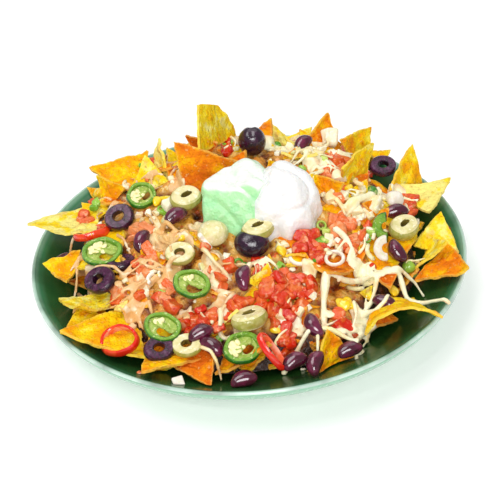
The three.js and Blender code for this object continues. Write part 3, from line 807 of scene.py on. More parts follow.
def half_olive():
    """The round side of an olive over a flat cut, as a profile for the wheel."""
    dome = [(9.4 * math.cos(math.radians(a)), 8.4 * math.sin(math.radians(a)) - 2.5) for a in range(8, 90, 9)]
    return [(0, -2.1), (5, -2.3), (8.9, -2.5), (9.3, -2.2), *dome, (0, 5.9)]


half_model = turned("olive_half_model", half_olive(), 36)
half_model.data.transform(Matrix.Diagonal((1.06, 0.94, 1, 1)))
coated(half_model, black_skin)
sliced("black_olive_half", half_model, ((2.5, -32, 61.5), 0, 30, 0, 1.12), 9)


# ---- Green olives -------------------------------------------------------------------------------
# Thick cuts through the middle of stoned green olives. The cut face is cream, the side a drab
# yellow-green, and the hole small and dark.

GREEN_OLIVES = {
    "green_olive_cut_1": ((-37, 9, 70), 0, 14, 40),
    "green_olive_cut_2": ((7, -25, 65.5), 0, 0, 30),
    "green_olive_cut_3": ((99, -15, 51.5), 0, 8, 50),
    "green_olive_cut_4": ((-2, -87.5, 46), 10, -14, 20, 1.06),
}
GREEN_OLIVE_RINGS = {
    "green_olive_ring_1": ((-42, -34, 58), 0, 20, 0),
    "green_olive_ring_2": ((-40, -98, 37.6), 0, 10, -20),
}

drab_skin = Finish("green_olive_skin", "#b6ae5c")
drab_skin.patches(6, 0.4, 0.62, "#9a9734", 0.8)
drab_skin.patches(3.4, 0.52, 0.68, "#d2cc8e", 0.45)
drab_skin = drab_skin.relief(2, 0.2).done(0.14, 0.28, coat_weight=0.4, coat_roughness=0.1)
olive_flesh = Finish("green_olive_flesh", "#ece0ac")
olive_flesh.patches(5, 0.42, 0.62, "#d9cf86", 0.8)
olive_flesh.patches(2.4, 0.56, 0.66, "#f8f0cc", 0.9)
olive_flesh = olive_flesh.relief(1.6, 0.25).done(0.2, 0.34)
olive_hole = Finish("green_olive_hole", "#8c7a34")
olive_hole.patches(2, 0.5, 0.66, "#4a3a12", 0.9)
olive_hole = olive_hole.relief(1, 0.3).done(0.3, 0.5)

olive_cut = turned("olive_cut_model", ring_profile(radius=11, hole=3.2, thickness=8, belly=1.9), 44)
for corner in olive_cut.data.vertices:
    reach = corner.co.to_2d().length / MM
    if reach < 4.4:
        corner.co.x *= 1.3
        corner.co.y *= 0.75
olive_cut.data.transform(Matrix.Diagonal((1, 0.82, 1, 1)))
green_ring = copied(olive_ring, "green_ring_model")
for model in (olive_cut, green_ring):
    model.data.materials.clear()
    coated(model, drab_skin, olive_flesh, olive_hole)
    painted_by_place(model, flesh=1, inside=2)
sliced_each(GREEN_OLIVES, olive_cut, 20, 0.5)
sliced_each(GREEN_OLIVE_RINGS, green_ring, 30)
half_model.data.materials[0] = olive_flesh
sliced("green_olive_half", half_model, ((-21, -22.6, 64.5), 0, 24, 0), 17)


# ---- Jalapeno slices ----------------------------------------------------------------------------
# Cross-sections of pickled green peppers: a dark skin, a pale wall, and the core across the middle
# with flat cream seeds on one side of it. The other side is open.

JALAPENOS = {
    "jalapeno_ring_1": ((-92, -15, 50), 0, 14, -6, 1.02),
    "jalapeno_ring_2": ((-35.3, -60.5, 54.2), -40, 20, 20, 0.9),
    "jalapeno_ring_3": ((-54, -86.5, 43.6), -40, 22, 20, 0.88),
    "jalapeno_ring_4": ((-7.5, -106, 39.2), 20, 14, 30, 0.94),
    "jalapeno_ring_5": ((-66.5, 27, 62.5), 30, 20, 30, 0.84),
}
OPEN_JALAPENOS = ("jalapeno_ring_2", "jalapeno_ring_3")  # a larger hole, and most seeds fallen out
JALAPENO_OUTSIDE = 13.2
JALAPENO_HOLE = 9.8
WEB_OUTSIDE = 10.1  # the thin web of flesh round the seeds, which runs a little way into the wall
SEED_SPREAD = 5
ALL_SEEDS = 12


def jalapeno_model(seed_count, hole):
    """One slice with its wall, the core across its middle, a web round that, and seeds on the web."""
    wall_section = ring_profile(JALAPENO_OUTSIDE, JALAPENO_HOLE, thickness=4.6, belly=0.7)
    wall = turned("jalapeno_wall", wall_section, 48)
    wall.data.transform(Matrix.Diagonal((1, 0.86, 1, 1)))
    pith = ball(28, 14, 1)
    pith.data.transform(Matrix.Diagonal((JALAPENO_HOLE, 2.2, 1.5, 1)))
    for corner in pith.data.vertices:
        x, y, z = corner.co / MM
        corner.co.y += (1.2 - 0.16 * x) * MM + 1.2 * MM * ruffle(x, y, z, 4)
        corner.co.z += 0.6 * MM * ruffle(x, y, z, 3, 5) - 0.2 * MM
    web = turned("jalapeno_web", ring_profile(WEB_OUTSIDE, hole, thickness=1.6, belly=0.1), 40)
    for corner in web.data.vertices:
        x, y, z = corner.co / MM
        inward = (WEB_OUTSIDE - math.hypot(x, y)) / (WEB_OUTSIDE - hole)
        sunk = -0.9 - 0.8 * inward + 0.5 * ruffle(x, y, 0, 3.5, 4)
        corner.co = Vector((x * (1 + 0.2 * inward) + 2.6 * inward, y * 0.86 - 2.6 * inward, z + sunk)) * MM
    flat_seed = ball(10, 6, radius=2.3)
    flat_seed.data.transform(Matrix.Diagonal((1.05, 0.8, 0.3, 1)))
    draw = random.Random(5)
    seeds = []
    for i in range(seed_count):
        angle = math.radians(150 + i * GOLDEN_ANGLE)
        reach = SEED_SPREAD * math.sqrt((i + 0.5) / ALL_SEEDS)
        seed = copied(flat_seed, "seed")
        at = (reach * math.cos(angle) * 1.1 - 2.6, reach * math.sin(angle) * 0.8 + 3, draw.uniform(0.2, 0.9))
        seed.data.transform(posed(at, draw.uniform(0, 360), draw.uniform(-16, 16), draw.uniform(0, 360)))
        seeds.append(seed)
    dropped(flat_seed)
    for part in (wall, pith, web, *seeds):
        coated(part, green_skin, green_wall, pale_pith, seed_coat)
        finish = 2 if part in (pith, web) else 3
        for face in part.data.polygons:
            face.material_index = finish
    painted_by_place(wall, flesh=1, inside=1)
    return joined([wall, pith, web, *seeds], "jalapeno_model")


green_skin = Finish("jalapeno_skin", "#286c10")
green_skin.patches(7, 0.42, 0.62, "#1a5a0e", 0.8)
green_skin.patches(3, 0.6, 0.7, "#7cb840", 0.5)
green_skin = green_skin.relief(2, 0.1).done(0.1, 0.2, coat_weight=0.6, coat_roughness=0.06)
green_wall = Finish("jalapeno_flesh", "#7eaa34")
green_wall.patches(4, 0.42, 0.62, "#569020", 0.8)
green_wall.patches(2, 0.58, 0.68, "#cfe08e", 0.7)
green_wall = green_wall.relief(1.2, 0.25).done(0.16, 0.28)
pale_pith = Finish("jalapeno_pith", "#b2c45c")
pale_pith.patches(3, 0.45, 0.62, "#8fb03a", 0.8)
pale_pith.patches(2, 0.58, 0.68, "#e6eaa6", 0.9)
pale_pith = pale_pith.relief(1.2, 0.4).done(0.25, 0.4)
seed_coat = Finish("jalapeno_seed", "#fbf2b8")
seed_coat.patches(2, 0.5, 0.66, "#e6d680", 0.8)
seed_coat = seed_coat.relief(0.8, 0.1).done(0.3, 0.45)

seedy_jalapeno = jalapeno_model(ALL_SEEDS, hole=3.6)
open_jalapeno = jalapeno_model(4, hole=4.6)
for seed, (name, pose) in enumerate(JALAPENOS.items(), start=40):
    model = open_jalapeno if name in OPEN_JALAPENOS else seedy_jalapeno
    sliced(name, model, pose, seed, 0.8)


# ---- Red chilli rings ---------------------------------------------------------------------------
# Thin rings of a fresh red chilli: a glossy red skin outside, and a paler, pinkish wall inside.

RED_CHILLIES = {
    "red_chilli_ring_1": ((-80, -87, 36), 20, 20, -46),
    "red_chilli_ring_3": ((-100, 10, 48), 153, 24, -156),
}
NARROW_CHILLI_POSE = ((9.5, -111.5, 39.5), -118, 54, 91)

red_skin = Finish("red_chilli_skin", "#e2200a")
red_skin.patches(8, 0.45, 0.65, "#f4511e", 0.7)
red_skin = red_skin.relief(2, 0.1).done(0.1, 0.2, coat_weight=0.6, coat_roughness=0.06)
red_wall = Finish("red_chilli_flesh", "#f4653a")
red_wall.patches(6, 0.45, 0.6, "#f9ab8e", 0.85)
red_wall = red_wall.relief(1.6, 0.2).done(0.15, 0.28)

chilli = turned("chilli_model", ring_profile(radius=12.6, hole=10, thickness=5, belly=0.6), 48)
narrow_section = ring_profile(radius=13.5, hole=11, thickness=4, belly=0.5)
narrow_chilli = turned("narrow_chilli_model", narrow_section, 48)
for model, oval in ((chilli, 0.86), (narrow_chilli, 0.5)):
    for corner in model.data.vertices:
        x = corner.co.x / (13 * MM)
        corner.co.y *= 1 - 0.14 * x
    model.data.transform(Matrix.Diagonal((1, oval, 1, 1)))
    coated(model, red_skin, red_wall)
    painted_by_place(model, flesh=0, inside=1)
sliced_each(RED_CHILLIES, chilli, 50, 0.7)
sliced("red_chilli_ring_2", narrow_chilli, NARROW_CHILLI_POSE, 55, 0.5)


# ---- Kidney beans -------------------------------------------------------------------------------
# Boiled red kidney beans, whole, with a tight glossy maroon skin and a pale scar in the bend.

KIDNEY_BEANS = [
    ((-4, -62.3, 57), 84, 34, 0),
    ((35.3, -95, 43), 116, 30, 0),
    ((92.3, -35.4, 48.4), 110, 34, 10),
    ((96.3, 5, 50), 10, 20, 0),
    ((22, -114.5, 33.5), 30, 20, 0),
    ((34, -117, 33), 70, 24, 0),
    ((-31.7, -92.8, 42), 24, 24, 0),
    ((-25.5, -101, 38), -40, 24, 0),
    ((-8, -122, 29), 14, 14, 0),
    ((-44, -4, 66), 30, 12, 0),
    ((55, -104, 30), 20, 10, 0),
    ((-66.3, -14, 55.2), 70, 30, 0),
    ((80, -71.5, 37), -34, 20, 0),
    ((42, 68, 67), 50, 20, 0),
    ((-118, -2, 36), 12, 10, 0),
]
BEAN_LENGTH = 16.4
BEAN_DEPTH = 10
BEAN_THICKNESS = 9.2

bean_skin = Finish("kidney_bean_skin", "#4a0a24")
bean_skin.patches(7, 0.45, 0.65, "#7a1f45", 0.7)
bean_skin.patches(2.4, 0.58, 0.7, "#2a0512", 0.6)
bean_skin = bean_skin.relief(3, 0.1).done(0.08, 0.16, coat_weight=0.8, coat_roughness=0.05)
bean_scar = Finish("kidney_bean_scar", "#b07a78")
bean_scar.patches(1, 0.45, 0.6, "#a8647c", 0.6)
bean_scar = bean_scar.relief(0.8, 0.1).done(0.3, 0.4)


def bean_model():
    """A ball stretched and bent to a bean, with the scar pressed into its bend."""
    bean = ball(32, 20, 1)
    for corner in bean.data.vertices:
        z, x, y = corner.co / MM
        x *= BEAN_LENGTH / 2
        plump = 1 + 0.05 * math.sin(x * 0.4)
        y = y * (BEAN_DEPTH / 2) * plump - 0.028 * x * x + 0.8
        scar = math.exp(-(x * x / 7 + z * z * 5)) if y > 3 else 0
        corner.co = Vector((x, y - 0.8 * scar, z * (BEAN_THICKNESS / 2) * plump)) * MM
    coated(bean, bean_skin, bean_scar)
    for face in bean.data.polygons:
        x, y, z = face.center / MM
        face.material_index = 1 if y > 3.6 and abs(x) < 1.7 and abs(z) < 0.8 else 0
    bpy.ops.object.mode_set(mode="EDIT")
    bpy.ops.mesh.select_all(action="SELECT")
    bpy.ops.mesh.normals_make_consistent(inside=False)
    bpy.ops.object.mode_set(mode="OBJECT")
    return bean


bean = bean_model()
for number, pose in enumerate(KIDNEY_BEANS, start=1):
    sliced(f"kidney_bean_{number}", bean, pose, number + 60, 0.5)


# ---- Onion and pepper pieces --------------------------------------------------------------------
# A curved layer of onion, a small ring, a ball and a cube of it, and a slice of green pepper seen on
# its edge. Onion is white and a little clear, and faintly yellow-green in places.

onion_white = Finish("raw_onion", "#ece0cc")
onion_white.patches(5, 0.45, 0.62, "#f8f2e6", 0.8)
onion_white.patches(3, 0.58, 0.68, "#dcdcb0", 0.7)
onion_white = onion_white.relief(1.6, 0.15).done(0.14, 0.28, **soaked(0.15, 4, 4, 3))


def cut_through(piece, *normals):
    """Cuts a turned piece through its middle, keeps the side each normal points to, closes the cuts."""
    bpy.ops.object.mode_set(mode="EDIT")
    for normal in normals:
        bpy.ops.mesh.select_all(action="SELECT")
        bpy.ops.mesh.bisect(plane_co=(0, 0, 0), plane_no=normal, use_fill=True, clear_inner=True)
    bpy.ops.object.mode_set(mode="OBJECT")
    return piece


def cube_model(edge, round_by):
    """A cube with soft edges, cut fine enough to be pushed out of true."""
    cube = made(bpy.ops.mesh.primitive_cube_add, size=edge * MM)
    bpy.ops.object.mode_set(mode="EDIT")
    bpy.ops.mesh.subdivide(number_cuts=3)
    bpy.ops.object.mode_set(mode="OBJECT")
    worked(cube, "BEVEL", width=round_by * MM, segments=2, limit_method="ANGLE")
    bpy.ops.object.shade_smooth()
    return cube


layer_section = ring_profile(radius=9.4, hole=3.6, thickness=4.6, belly=0.8)
layer = cut_through(turned("layer_model", layer_section, 40), (0, 1, 0))
coated(layer, onion_white)
sliced("onion_wedge", layer, ((84.5, -40, 55), 80, 60, 20, 0.86), 80)
layer.data.materials[0] = green_skin
coated(layer, green_wall)
painted_by_place(layer, flesh=1, inside=1)
sliced("jalapeno_wedge", layer, ((87.5, -21, 57.2), 100, 66, -20), 81)

small_section = ring_profile(radius=6.4, hole=4.2, thickness=2.6, belly=0.3)
onion_ring_model = turned("onion_ring_model", small_section, 30)
onion_ring_model.data.transform(Matrix.Diagonal((1, 0.9, 1, 1)))
ball_model = ball(24, 16, radius=6.1)
onion_cube_model = cube_model(edge=7, round_by=0.8)
onion_cube_model.data.transform(Matrix.Diagonal((1, 1, 0.86, 1)))
for model in (onion_ring_model, ball_model, onion_cube_model):
    coated(model, onion_white)
sliced("onion_ring", onion_ring_model, ((52, -50, 57.6), 0, 22, 10), 82)
sliced("onion_ball", ball_model, ((97, 16.5, 52),), 83, 1.5)
sliced("onion_cube", onion_cube_model, ((-46, -118, 26), 14, 18, 0), 84)


# ---- The two dollops ----------------------------------------------------------------------------
# A spoonful of sour cream and one of cream whipped with avocado, dropped side by side so that they
# run together. Each keeps the soft folds of the spoon, and hangs over what it lies on in lobes.


def dollop(name, width, height, seed, pose, lobes, presses, cuts):
    """A ball cut and pressed flat by the spoon, with soft creases between, over a lobed skirt."""
    draw = random.Random(seed)
    pressed = [(Vector(normal).normalized(), far) for normal, far in cuts]
    for i in range(presses):
        angle, up = math.radians(i * GOLDEN_ANGLE), 0.85 - 1.3 * i / presses
        flat = math.sqrt(1 - up * up)
        normal = Vector((math.cos(angle) * flat, math.sin(angle) * flat, up))
        pressed.append((normal, draw.uniform(0.84, 1.0)))
    cream = ball(176, 100, 1 / MM)
    cream.name = name
    for corner in cream.data.vertices:
        out = corner.co.normalized()
        reach = (1 + sum((max(0, out.dot(normal)) / far) ** 16 for normal, far in pressed)) ** (-1 / 16)
        angle = math.atan2(out.y, out.x)
        low = within(0.3 - out.z)
        skirt = 0.13 * low * math.sin(lobes * angle + 2 * math.sin(2 * angle + seed))
        x, y, z = out * reach * 1.06
        x, y = x * (1 + skirt) * width / 2, y * (1 + skirt) * width / 2
        z *= height * (0.72 if z > 0 else 0.4)
        crease = 1 - min(1, 5 * abs(ruffle(x, y, z, 22, seed)))
        swell = 1.4 * ruffle(x, y, z, 14, seed + 3) + 0.4 * ruffle(x, y, z, 5, seed + 5) - 1.3 * crease
        corner.co = (Vector((x, y, z)) + out * swell) * MM
    cream.data.transform(posed(*pose))
    return cream


cream_white = Finish("sour_cream_gloss", "#f8f8f6")
cream_white.patches(10, 0.5, 0.7, "#eef0f0", 0.8)
cream_white = cream_white.relief(5, 0.5).relief(1.6, 0.12).done(0.22, 0.4, **soaked(0.2, 6, 5, 4))
cream_mint = Finish("avocado_cream_gloss", "#b2eaac")
cream_mint.patches(11, 0.45, 0.65, "#9fe2a4", 0.8)
cream_mint.patches(5, 0.56, 0.68, "#cdf3c6", 0.7)
# Painted light: the top of the avocado cream is painted near white, for the light that falls on it from
# above.
cream_mint.coat(cream_mint.attribute("pale"), "#f2faee", 0.95)
cream_mint = cream_mint.relief(5, 0.6).relief(1.4, 0.25).done(0.26, 0.44, **soaked(0.15, 4, 6, 4))

SOUR_CUTS = [((0, 0, 1), 0.97), ((-0.75, 0.1, 0.66), 0.76)]
SOUR_POSE = ((23.5, -1, 63), 0, 6, 0)
SOUR_SHAPE = {"width": 51, "height": 45, "lobes": 8, "presses": 13}
sour_cream = dollop("sour_cream_dollop", seed=3, pose=SOUR_POSE, cuts=SOUR_CUTS, **SOUR_SHAPE)
coated(sour_cream, cream_white)
stands_for(sour_cream, "sour_cream")
# The spoon left it flat on its left, in front, on top and behind, so that it has a corner there.
AVOCADO_CUTS = [((-1, 0, 0.05), 0.76), ((-0.14, -0.1, 0.98), 0.62), ((-0.3, -0.78, 0.55), 0.64)]
AVOCADO_CUTS += [((-0.5, 0.78, 0.38), 0.68)]
AVOCADO_POSE = ((-5, 5, 64),)
AVOCADO_SHAPE = {"width": 54, "height": 47, "lobes": 7, "presses": 3}
avocado_cream = dollop("avocado_cream_dollop", seed=7, pose=AVOCADO_POSE, cuts=AVOCADO_CUTS, **AVOCADO_SHAPE)
coated(avocado_cream, cream_mint)
# Painted light: high on the dollop, where a face turns up, it is painted near white, for the light from
# above.
pale = marked(avocado_cream, "pale")
for corner in avocado_cream.data.vertices:
    x, y, z = corner.co / MM
    upward = (corner.normal.z - 0.68 + 0.12 * ruffle(x, y, z, 7)) / 0.2
    pale.data[corner.index].value = within(upward) * within((z - 78) / 4)
stands_for(avocado_cream, "avocado_cream")
top_pieces += [sour_cream, avocado_cream]
dropped(olive_ring, half_model, olive_cut, green_ring, seedy_jalapeno, open_jalapeno, chilli)
dropped(narrow_chilli, bean, layer, onion_ring_model, ball_model, onion_cube_model)


# ---- Broken chips -------------------------------------------------------------------------------
# Corners and splinters of chip, half sunk between the larger things all over the heap.


def tree_of(pieces):
    """What things can land on, for looking straight down at it."""
    corners, faces = [], []
    for piece in pieces:
        first = len(corners)
        corners += [corner.co.copy() for corner in piece.data.vertices]
        faces += [[first + c for c in face.vertices] for face in piece.data.polygons]
    return BVHTree.FromPolygons(corners, faces)


DOWN = Vector((0, 0, -1))
FALL_REACH = 130  # nothing loose lies further out than this
ground_tree = tree_of([core, chips_piece, plate])
topping_tree = tree_of(top_pieces)


def landing(x, y, clear, tall=9):
    """Where a thing dropped at x, y comes to rest, or nothing if a large topping is in the way."""
    if math.hypot(x, y) > FALL_REACH:
        return None
    for dx, dy in ((clear, 0), (-clear, 0), (0, clear), (0, -clear), (0, 0)):
        start = Vector(((x + dx) * MM, (y + dy) * MM, 0.3))
        rest, normal, _, _ = ground_tree.ray_cast(start, DOWN)
        cover = topping_tree.ray_cast(start, DOWN)[0]
        if rest is None or (cover is not None and cover.z > rest.z - 3 * MM):
            return None
    if rest.z > (heap_top(x, y) + tall) * MM or normal.z < 0.35:
        return None
    return rest, normal


def laid(rest, normal, spin, tip, lift):
    """A place on the surface: turned by spin about its normal, tipped, and lifted off it."""
    lean = Vector((0, 0, 1)).lerp(normal, 0.7).normalized()
    turn = lean.to_track_quat("Z", "Y").to_matrix().to_4x4()
    turn @= Matrix.Rotation(spin, 4, "Z") @ Matrix.Rotation(tip, 4, "X")
    return Matrix.Translation(rest + normal * lift * MM) @ turn


def sown(name, models, patches, seed, clear, lift, tones=(0, 1), sizes=(0.75, 1.15), tall=9):
    """Copies of the models dropped in patches of (x, y, spread, count), joined to one piece."""
    draw = random.Random(seed)
    pieces = []
    for x, y, spread, count in patches:
        for i in range(count):
            reach = spread * math.sqrt((i + 0.3 * draw.random()) / max(1, count))
            angle = math.radians(i * GOLDEN_ANGLE + 40 * draw.random() + x)
            spin, tip, size, tone, up = (draw.random() for _ in range(5))
            at = x + reach * math.cos(angle), y + reach * math.sin(angle)
            found = landing(*at, clear, tall)
            if found is None:
                continue
            piece = copied(models[int(spin * 97) % len(models)], name)
            scale = sizes[0] + (sizes[1] - sizes[0]) * size
            place = laid(*found, spin * 2 * math.pi, (tip - 0.5) * 1.4, lift * (0.5 + up))
            piece.data.transform(place @ Matrix.Scale(scale, 4))
            carry(piece, "tone", tones[0] + (tones[1] - tones[0]) * tone)
            pieces.append(piece)
    return off_glaze(joined(pieces, name))


small_sheet = chip_sheet(8)
shard_models = [fried(small_sheet, size, 2, 300 + size) for size in (15, 19, 23)]
shard_patches = [(0, HEAP_BACK, 106, 120)]
shards = sown("broken_chips", shard_models, shard_patches, seed=10, clear=3, lift=0.8, sizes=(0.7, 1.2))
dropped(small_sheet, *shard_models)
heaped(shards, chip_finish)
ground_tree = tree_of([core, chips_piece, shards, plate])


# ---- Diced tomato -------------------------------------------------------------------------------
# Ripe tomato cut in dice, each of its own colour from deep red to a paler, watery orange. It lies in heaps
# where the spoon dropped it, and single dice have rolled between the other things.


def die_model(width, depth, height, seed, soft=0.14):
    """A cube of soft flesh: bevelled, its corners drawn in by a share, and pushed out of true."""
    die = cube_model(1, 0.14)
    for corner in die.data.vertices:
        corner.co = corner.co.lerp(corner.co.normalized() * 0.58 * MM, soft)
    die.data.transform(Matrix.Diagonal((width, depth, height, 1)))
    return wobbled(die, seed, 1.6, 5.5)


TOMATO_PATCHES = [
    (10, -70, 17, 20), (24, -66, 15, 15), (16, -60, 14, 8), (8, -45, 7, 5), (-8, -72, 7, 5),
    (-4, -66, 5, 2), (40, -33, 9, 12), (36, -27, 6, 5), (48, -47, 6, 6), (20, -94, 6, 5),
    (54, -83, 6, 4), (77, -43, 5, 3), (102, -20, 7, 5), (105, 18, 7, 6), (62, 18, 5, 4),
    (89, 60, 7, 4), (-34, -78, 9, 9), (-20, -82, 6, 3), (-122, 58, 6, 3), (-100, 50, 6, 3),
    (130, 8, 5, 4), (0, 90, 28, 10), (-60, 90, 20, 6), (60, 92, 22, 7),
]
# Here it is paler, from unripe flesh and the cheese that has run over it.
PALE_TOMATO_PATCHES = [
    (62, -32, 7, 6), (60, -13, 7, 5), (67, -25, 4, 3), (58, 37, 8, 9), (66, 58, 9, 8),
    (-64, -32, 7, 7), (-36, -42, 7, 5), (-50, -58, 8, 7), (-68, -54, 3, 2), (-82, -48, 4, 2),
    (-30, -2, 5, 4), (-69, -2, 6, 4), (-108, 30, 9, 6), (-20, -50, 16, 7), (110, 30, 8, 5),
    (70, 0, 16, 5),
]
# The width, depth and height of each kind of die, and how far its corners are drawn in.
TOMATO_DICE = [((9.2, 8, 6.6), 0.25), ((10.4, 6.4, 5.2), 0.2), ((7, 6.6, 4.4), 0.35)]
TOMATO_DICE += [((12, 6, 3.6), 0.2), ((6, 5.4, 4.8), 0.12)]

tomato = Finish("ripe_tomato", "#d84218")
tomato_tones = [(0.0, "#ee9a62"), (0.3, "#e86c32"), (0.6, "#d84214"), (1.0, "#cc1c08")]
tomato.toned(tomato.attribute("tone"), tomato_tones)
tomato.patches(6, 0.48, 0.64, "#e67a30", 0.6)
tomato.patches(4, 0.56, 0.67, "#f6b488", 0.65)
tomato.patches(5, 0.6, 0.7, "#c81c0a", 0.7)
tomato = tomato.relief(2.4, 0.4).done(0.1, 0.24, **soaked(0.08, 4, 2, 1))
tomato_dice = [die_model(*size, seed, soft) for seed, (size, soft) in enumerate(TOMATO_DICE, start=1)]
loose = {"clear": 2.6, "lift": 1.9}
ripe = sown("diced_tomato", tomato_dice, TOMATO_PATCHES, 11, tones=(0.3, 1), sizes=(0.7, 1.3), **loose)
unripe = sown("pale_tomato", tomato_dice, PALE_TOMATO_PATCHES, 16, tones=(0, 0.6), sizes=(0.7, 1.2), **loose)
tomatoes = joined([ripe, unripe], "diced_tomato")
dropped(*tomato_dice)
heaped(tomatoes, tomato)


# ---- Diced onion --------------------------------------------------------------------------------
# Small dice and curved slivers of raw white onion, some of them stained by the tomato.

ONION_PATCHES = [
    (25, -35, 9, 8), (52, -30, 8, 8), (64, 4, 9, 12), (60, 14, 8, 8), (80, 16, 12, 16),
    (72, -4, 8, 10), (93, 4, 7, 6), (73, -27, 8, 7), (56, 68, 12, 9), (38, 48, 8, 7),
    (28, 60, 8, 4), (30, -74, 8, 6), (17, -83, 6, 5), (56, -57, 8, 5), (4, -48, 8, 6),
    (-10, -36, 10, 9), (-50, -2, 9, 9), (-62, 10, 8, 6), (-20, -84, 6, 4), (-28, -90, 6, 3),
    (93, -20, 7, 4), (-84, 50, 8, 5), (-30, -40, 12, 7), (-60, -44, 10, 5), (0, 94, 30, 9),
    (112, 20, 10, 6), (-98, 20, 8, 4),
]

# Larger lumps, each with its middle, spin, lean and yaw, and its size as a share of a small die.
ONION_LUMPS = [
    (((61.5, 80, 63), 60, 60, 30), 2.2),  # leans on a chip
    (((71, -1, 58), 20, 20, 0), 2.3),
    (((81, 5, 57), 60, 10, 0), 2.5),
    (((56, 6, 63), 10, 10, 20), 1.9),
    (((62, 9, 62), 50, 20, 0), 1.6),
    (((63, 32, 62), 30, 10, 0), 2.0),
    (((43, 62, 65), 0, 20, 0), 1.8),
    (((52, 57, 65), 70, 15, 0), 1.6),
    (((-48, 10, 67), 30, 20, 0), 1.7),
]

SLIVER_CUT = math.radians(240)  # how far round a ring its second cut is

onion = Finish("diced_onion", "#f6eedc")
onion_tones = [(0.0, "#fffbe8"), (0.4, "#f6edc4"), (0.7, "#f1dca0"), (0.88, "#f4c898"), (1.0, "#e0e4a0")]
onion.toned(onion.attribute("tone"), onion_tones)
onion.patches(3, 0.5, 0.66, "#fffcf0", 0.55)
onion = onion.relief(1.6, 0.2).done(0.14, 0.3, **soaked(0.12, 4, 4, 3))

sliver_section = ring_profile(radius=6.4, hole=4.2, thickness=2.4, belly=0.2)
sliver = turned("sliver_model", sliver_section, 24)
cut_through(sliver, (0, 1, 0), (math.sin(SLIVER_CUT), -math.cos(SLIVER_CUT), 0))
sliver.data.transform(Matrix.Translation((-1 * MM, -4 * MM, 0)))
onion_bits = [die_model(5.4, 4.8, 3.2, seed=4), die_model(4.2, 4, 3.6, seed=5), sliver]
onions = sown("diced_onion", onion_bits, ONION_PATCHES, seed=12, clear=2.0, lift=1.6)
lumps_of_onion = []
for i, (pose, size) in enumerate(ONION_LUMPS):
    lump = copied(onion_bits[i % 2], "onion_lump")
    lump.data.transform(posed(*pose) @ Matrix.Scale(size, 4))
    carry(lump, "tone", 0.3 + 0.14 * (i % 4))
    lumps_of_onion.append(lump)
onions = joined([onions, *lumps_of_onion], "diced_onion")
dropped(*onion_bits)
heaped(onions, onion)


# ---- Sweetcorn ----------------------------------------------------------------------------------
# Kernels cut from the cob: a fat rounded crown that narrows to a foot.

CORN_PATCHES = [
    (70, 19, 3, 2), (55, -71, 4, 3), (87, -58, 2, 1), (99, -53, 3, 2), (-14, -91, 1, 1),
    (-100, 78, 4, 2), (18, -37, 2, 1), (-57, 23, 3, 2), (12, -88, 2, 1), (-93, 43, 3, 2),
    (-42, -17, 2, 1), (29, -100, 2, 1), (40, 96, 14, 3), (-30, 96, 14, 3),
]


def kernel_model():
    """A ball drawn in to a narrow foot at one end, and squared a little."""
    kernel = ball(16, 12, 1 / MM)
    for corner in kernel.data.vertices:
        x, y, z = corner.co
        narrow = 0.78 + 0.3 * x
        boxy = 1 + 0.12 * abs(math.sin(2 * math.atan2(z, y)))
        corner.co = Vector((x * 4.9, y * 4.2 * narrow * boxy, z * 2.7 * narrow * boxy)) * MM
    return kernel


corn = Finish("sweetcorn", "#fbd014")
corn.patches(5, 0.45, 0.65, "#fde04c", 0.8)
corn.patches(3, 0.56, 0.68, "#f2ae08", 0.7)
corn = corn.relief(3, 0.2).done(0.12, 0.22, coat_weight=0.4)
kernel = kernel_model()
kernels = sown("sweetcorn_kernels", [kernel], CORN_PATCHES, seed=13, clear=2.4, lift=2.6)
dropped(kernel)
heaped(kernels, corn)


# ---- Green bits ---------------------------------------------------------------------------------
# Peas, diced green pepper and rings of spring onion, from pale lime to dark green.

GREEN_PATCHES = [
    (72, 8, 4, 3), (84, 28, 5, 4), (19, -46, 3, 2), (47, -26, 3, 2), (-22, -91, 3, 2),
    (102, -32, 3, 2), (-99, 40, 3, 2), (-30, -85, 3, 2), (-54, -54, 2, 1), (-38, 8, 3, 1),
    (38, 37, 4, 2), (57, 53, 4, 2), (-26, -20, 5, 3), (-38, -30, 6, 3), (-4, -42, 4, 2),
    (40, -48, 3, 1), (-9, -96, 3, 1), (46, -15, 5, 3), (-52, 8, 4, 2), (77, -24, 4, 2),
    (10, 92, 30, 5), (-70, 70, 16, 3),
]

greens = Finish("green_bits", "#6fb024")
green_tones = [(0.0, "#c8dc6a"), (0.35, "#8cc238"), (0.7, "#4f9c22"), (1.0, "#2a6e14")]
greens.toned(greens.attribute("tone"), green_tones)
greens.patches(3, 0.52, 0.66, "#dceba0", 0.5)
greens = greens.relief(2, 0.2).done(0.14, 0.28, coat_weight=0.3)

pea_model = wobbled(ball(16, 10, radius=3.7), seed=3, grain=4)
stalk_model = turned("stalk_model", ring_profile(radius=3.4, hole=2.1, thickness=2.6, belly=0.1), 18)
green_bits = [pea_model, die_model(5.4, 5, 4, seed=8), stalk_model, die_model(7, 4, 2.6, seed=9)]
green_pieces = sown("green_bits", green_bits, GREEN_PATCHES, seed=14, clear=2.0, lift=1.8)
dropped(*green_bits)
heaped(green_pieces, greens)


# ---- Melted cheese ------------------------------------------------------------------------------
# Grated cheese that has melted into strings: a web hangs over the right-hand chips, strands cross
# the heap, and short shreds lie everywhere, half sunk in what they melted on.

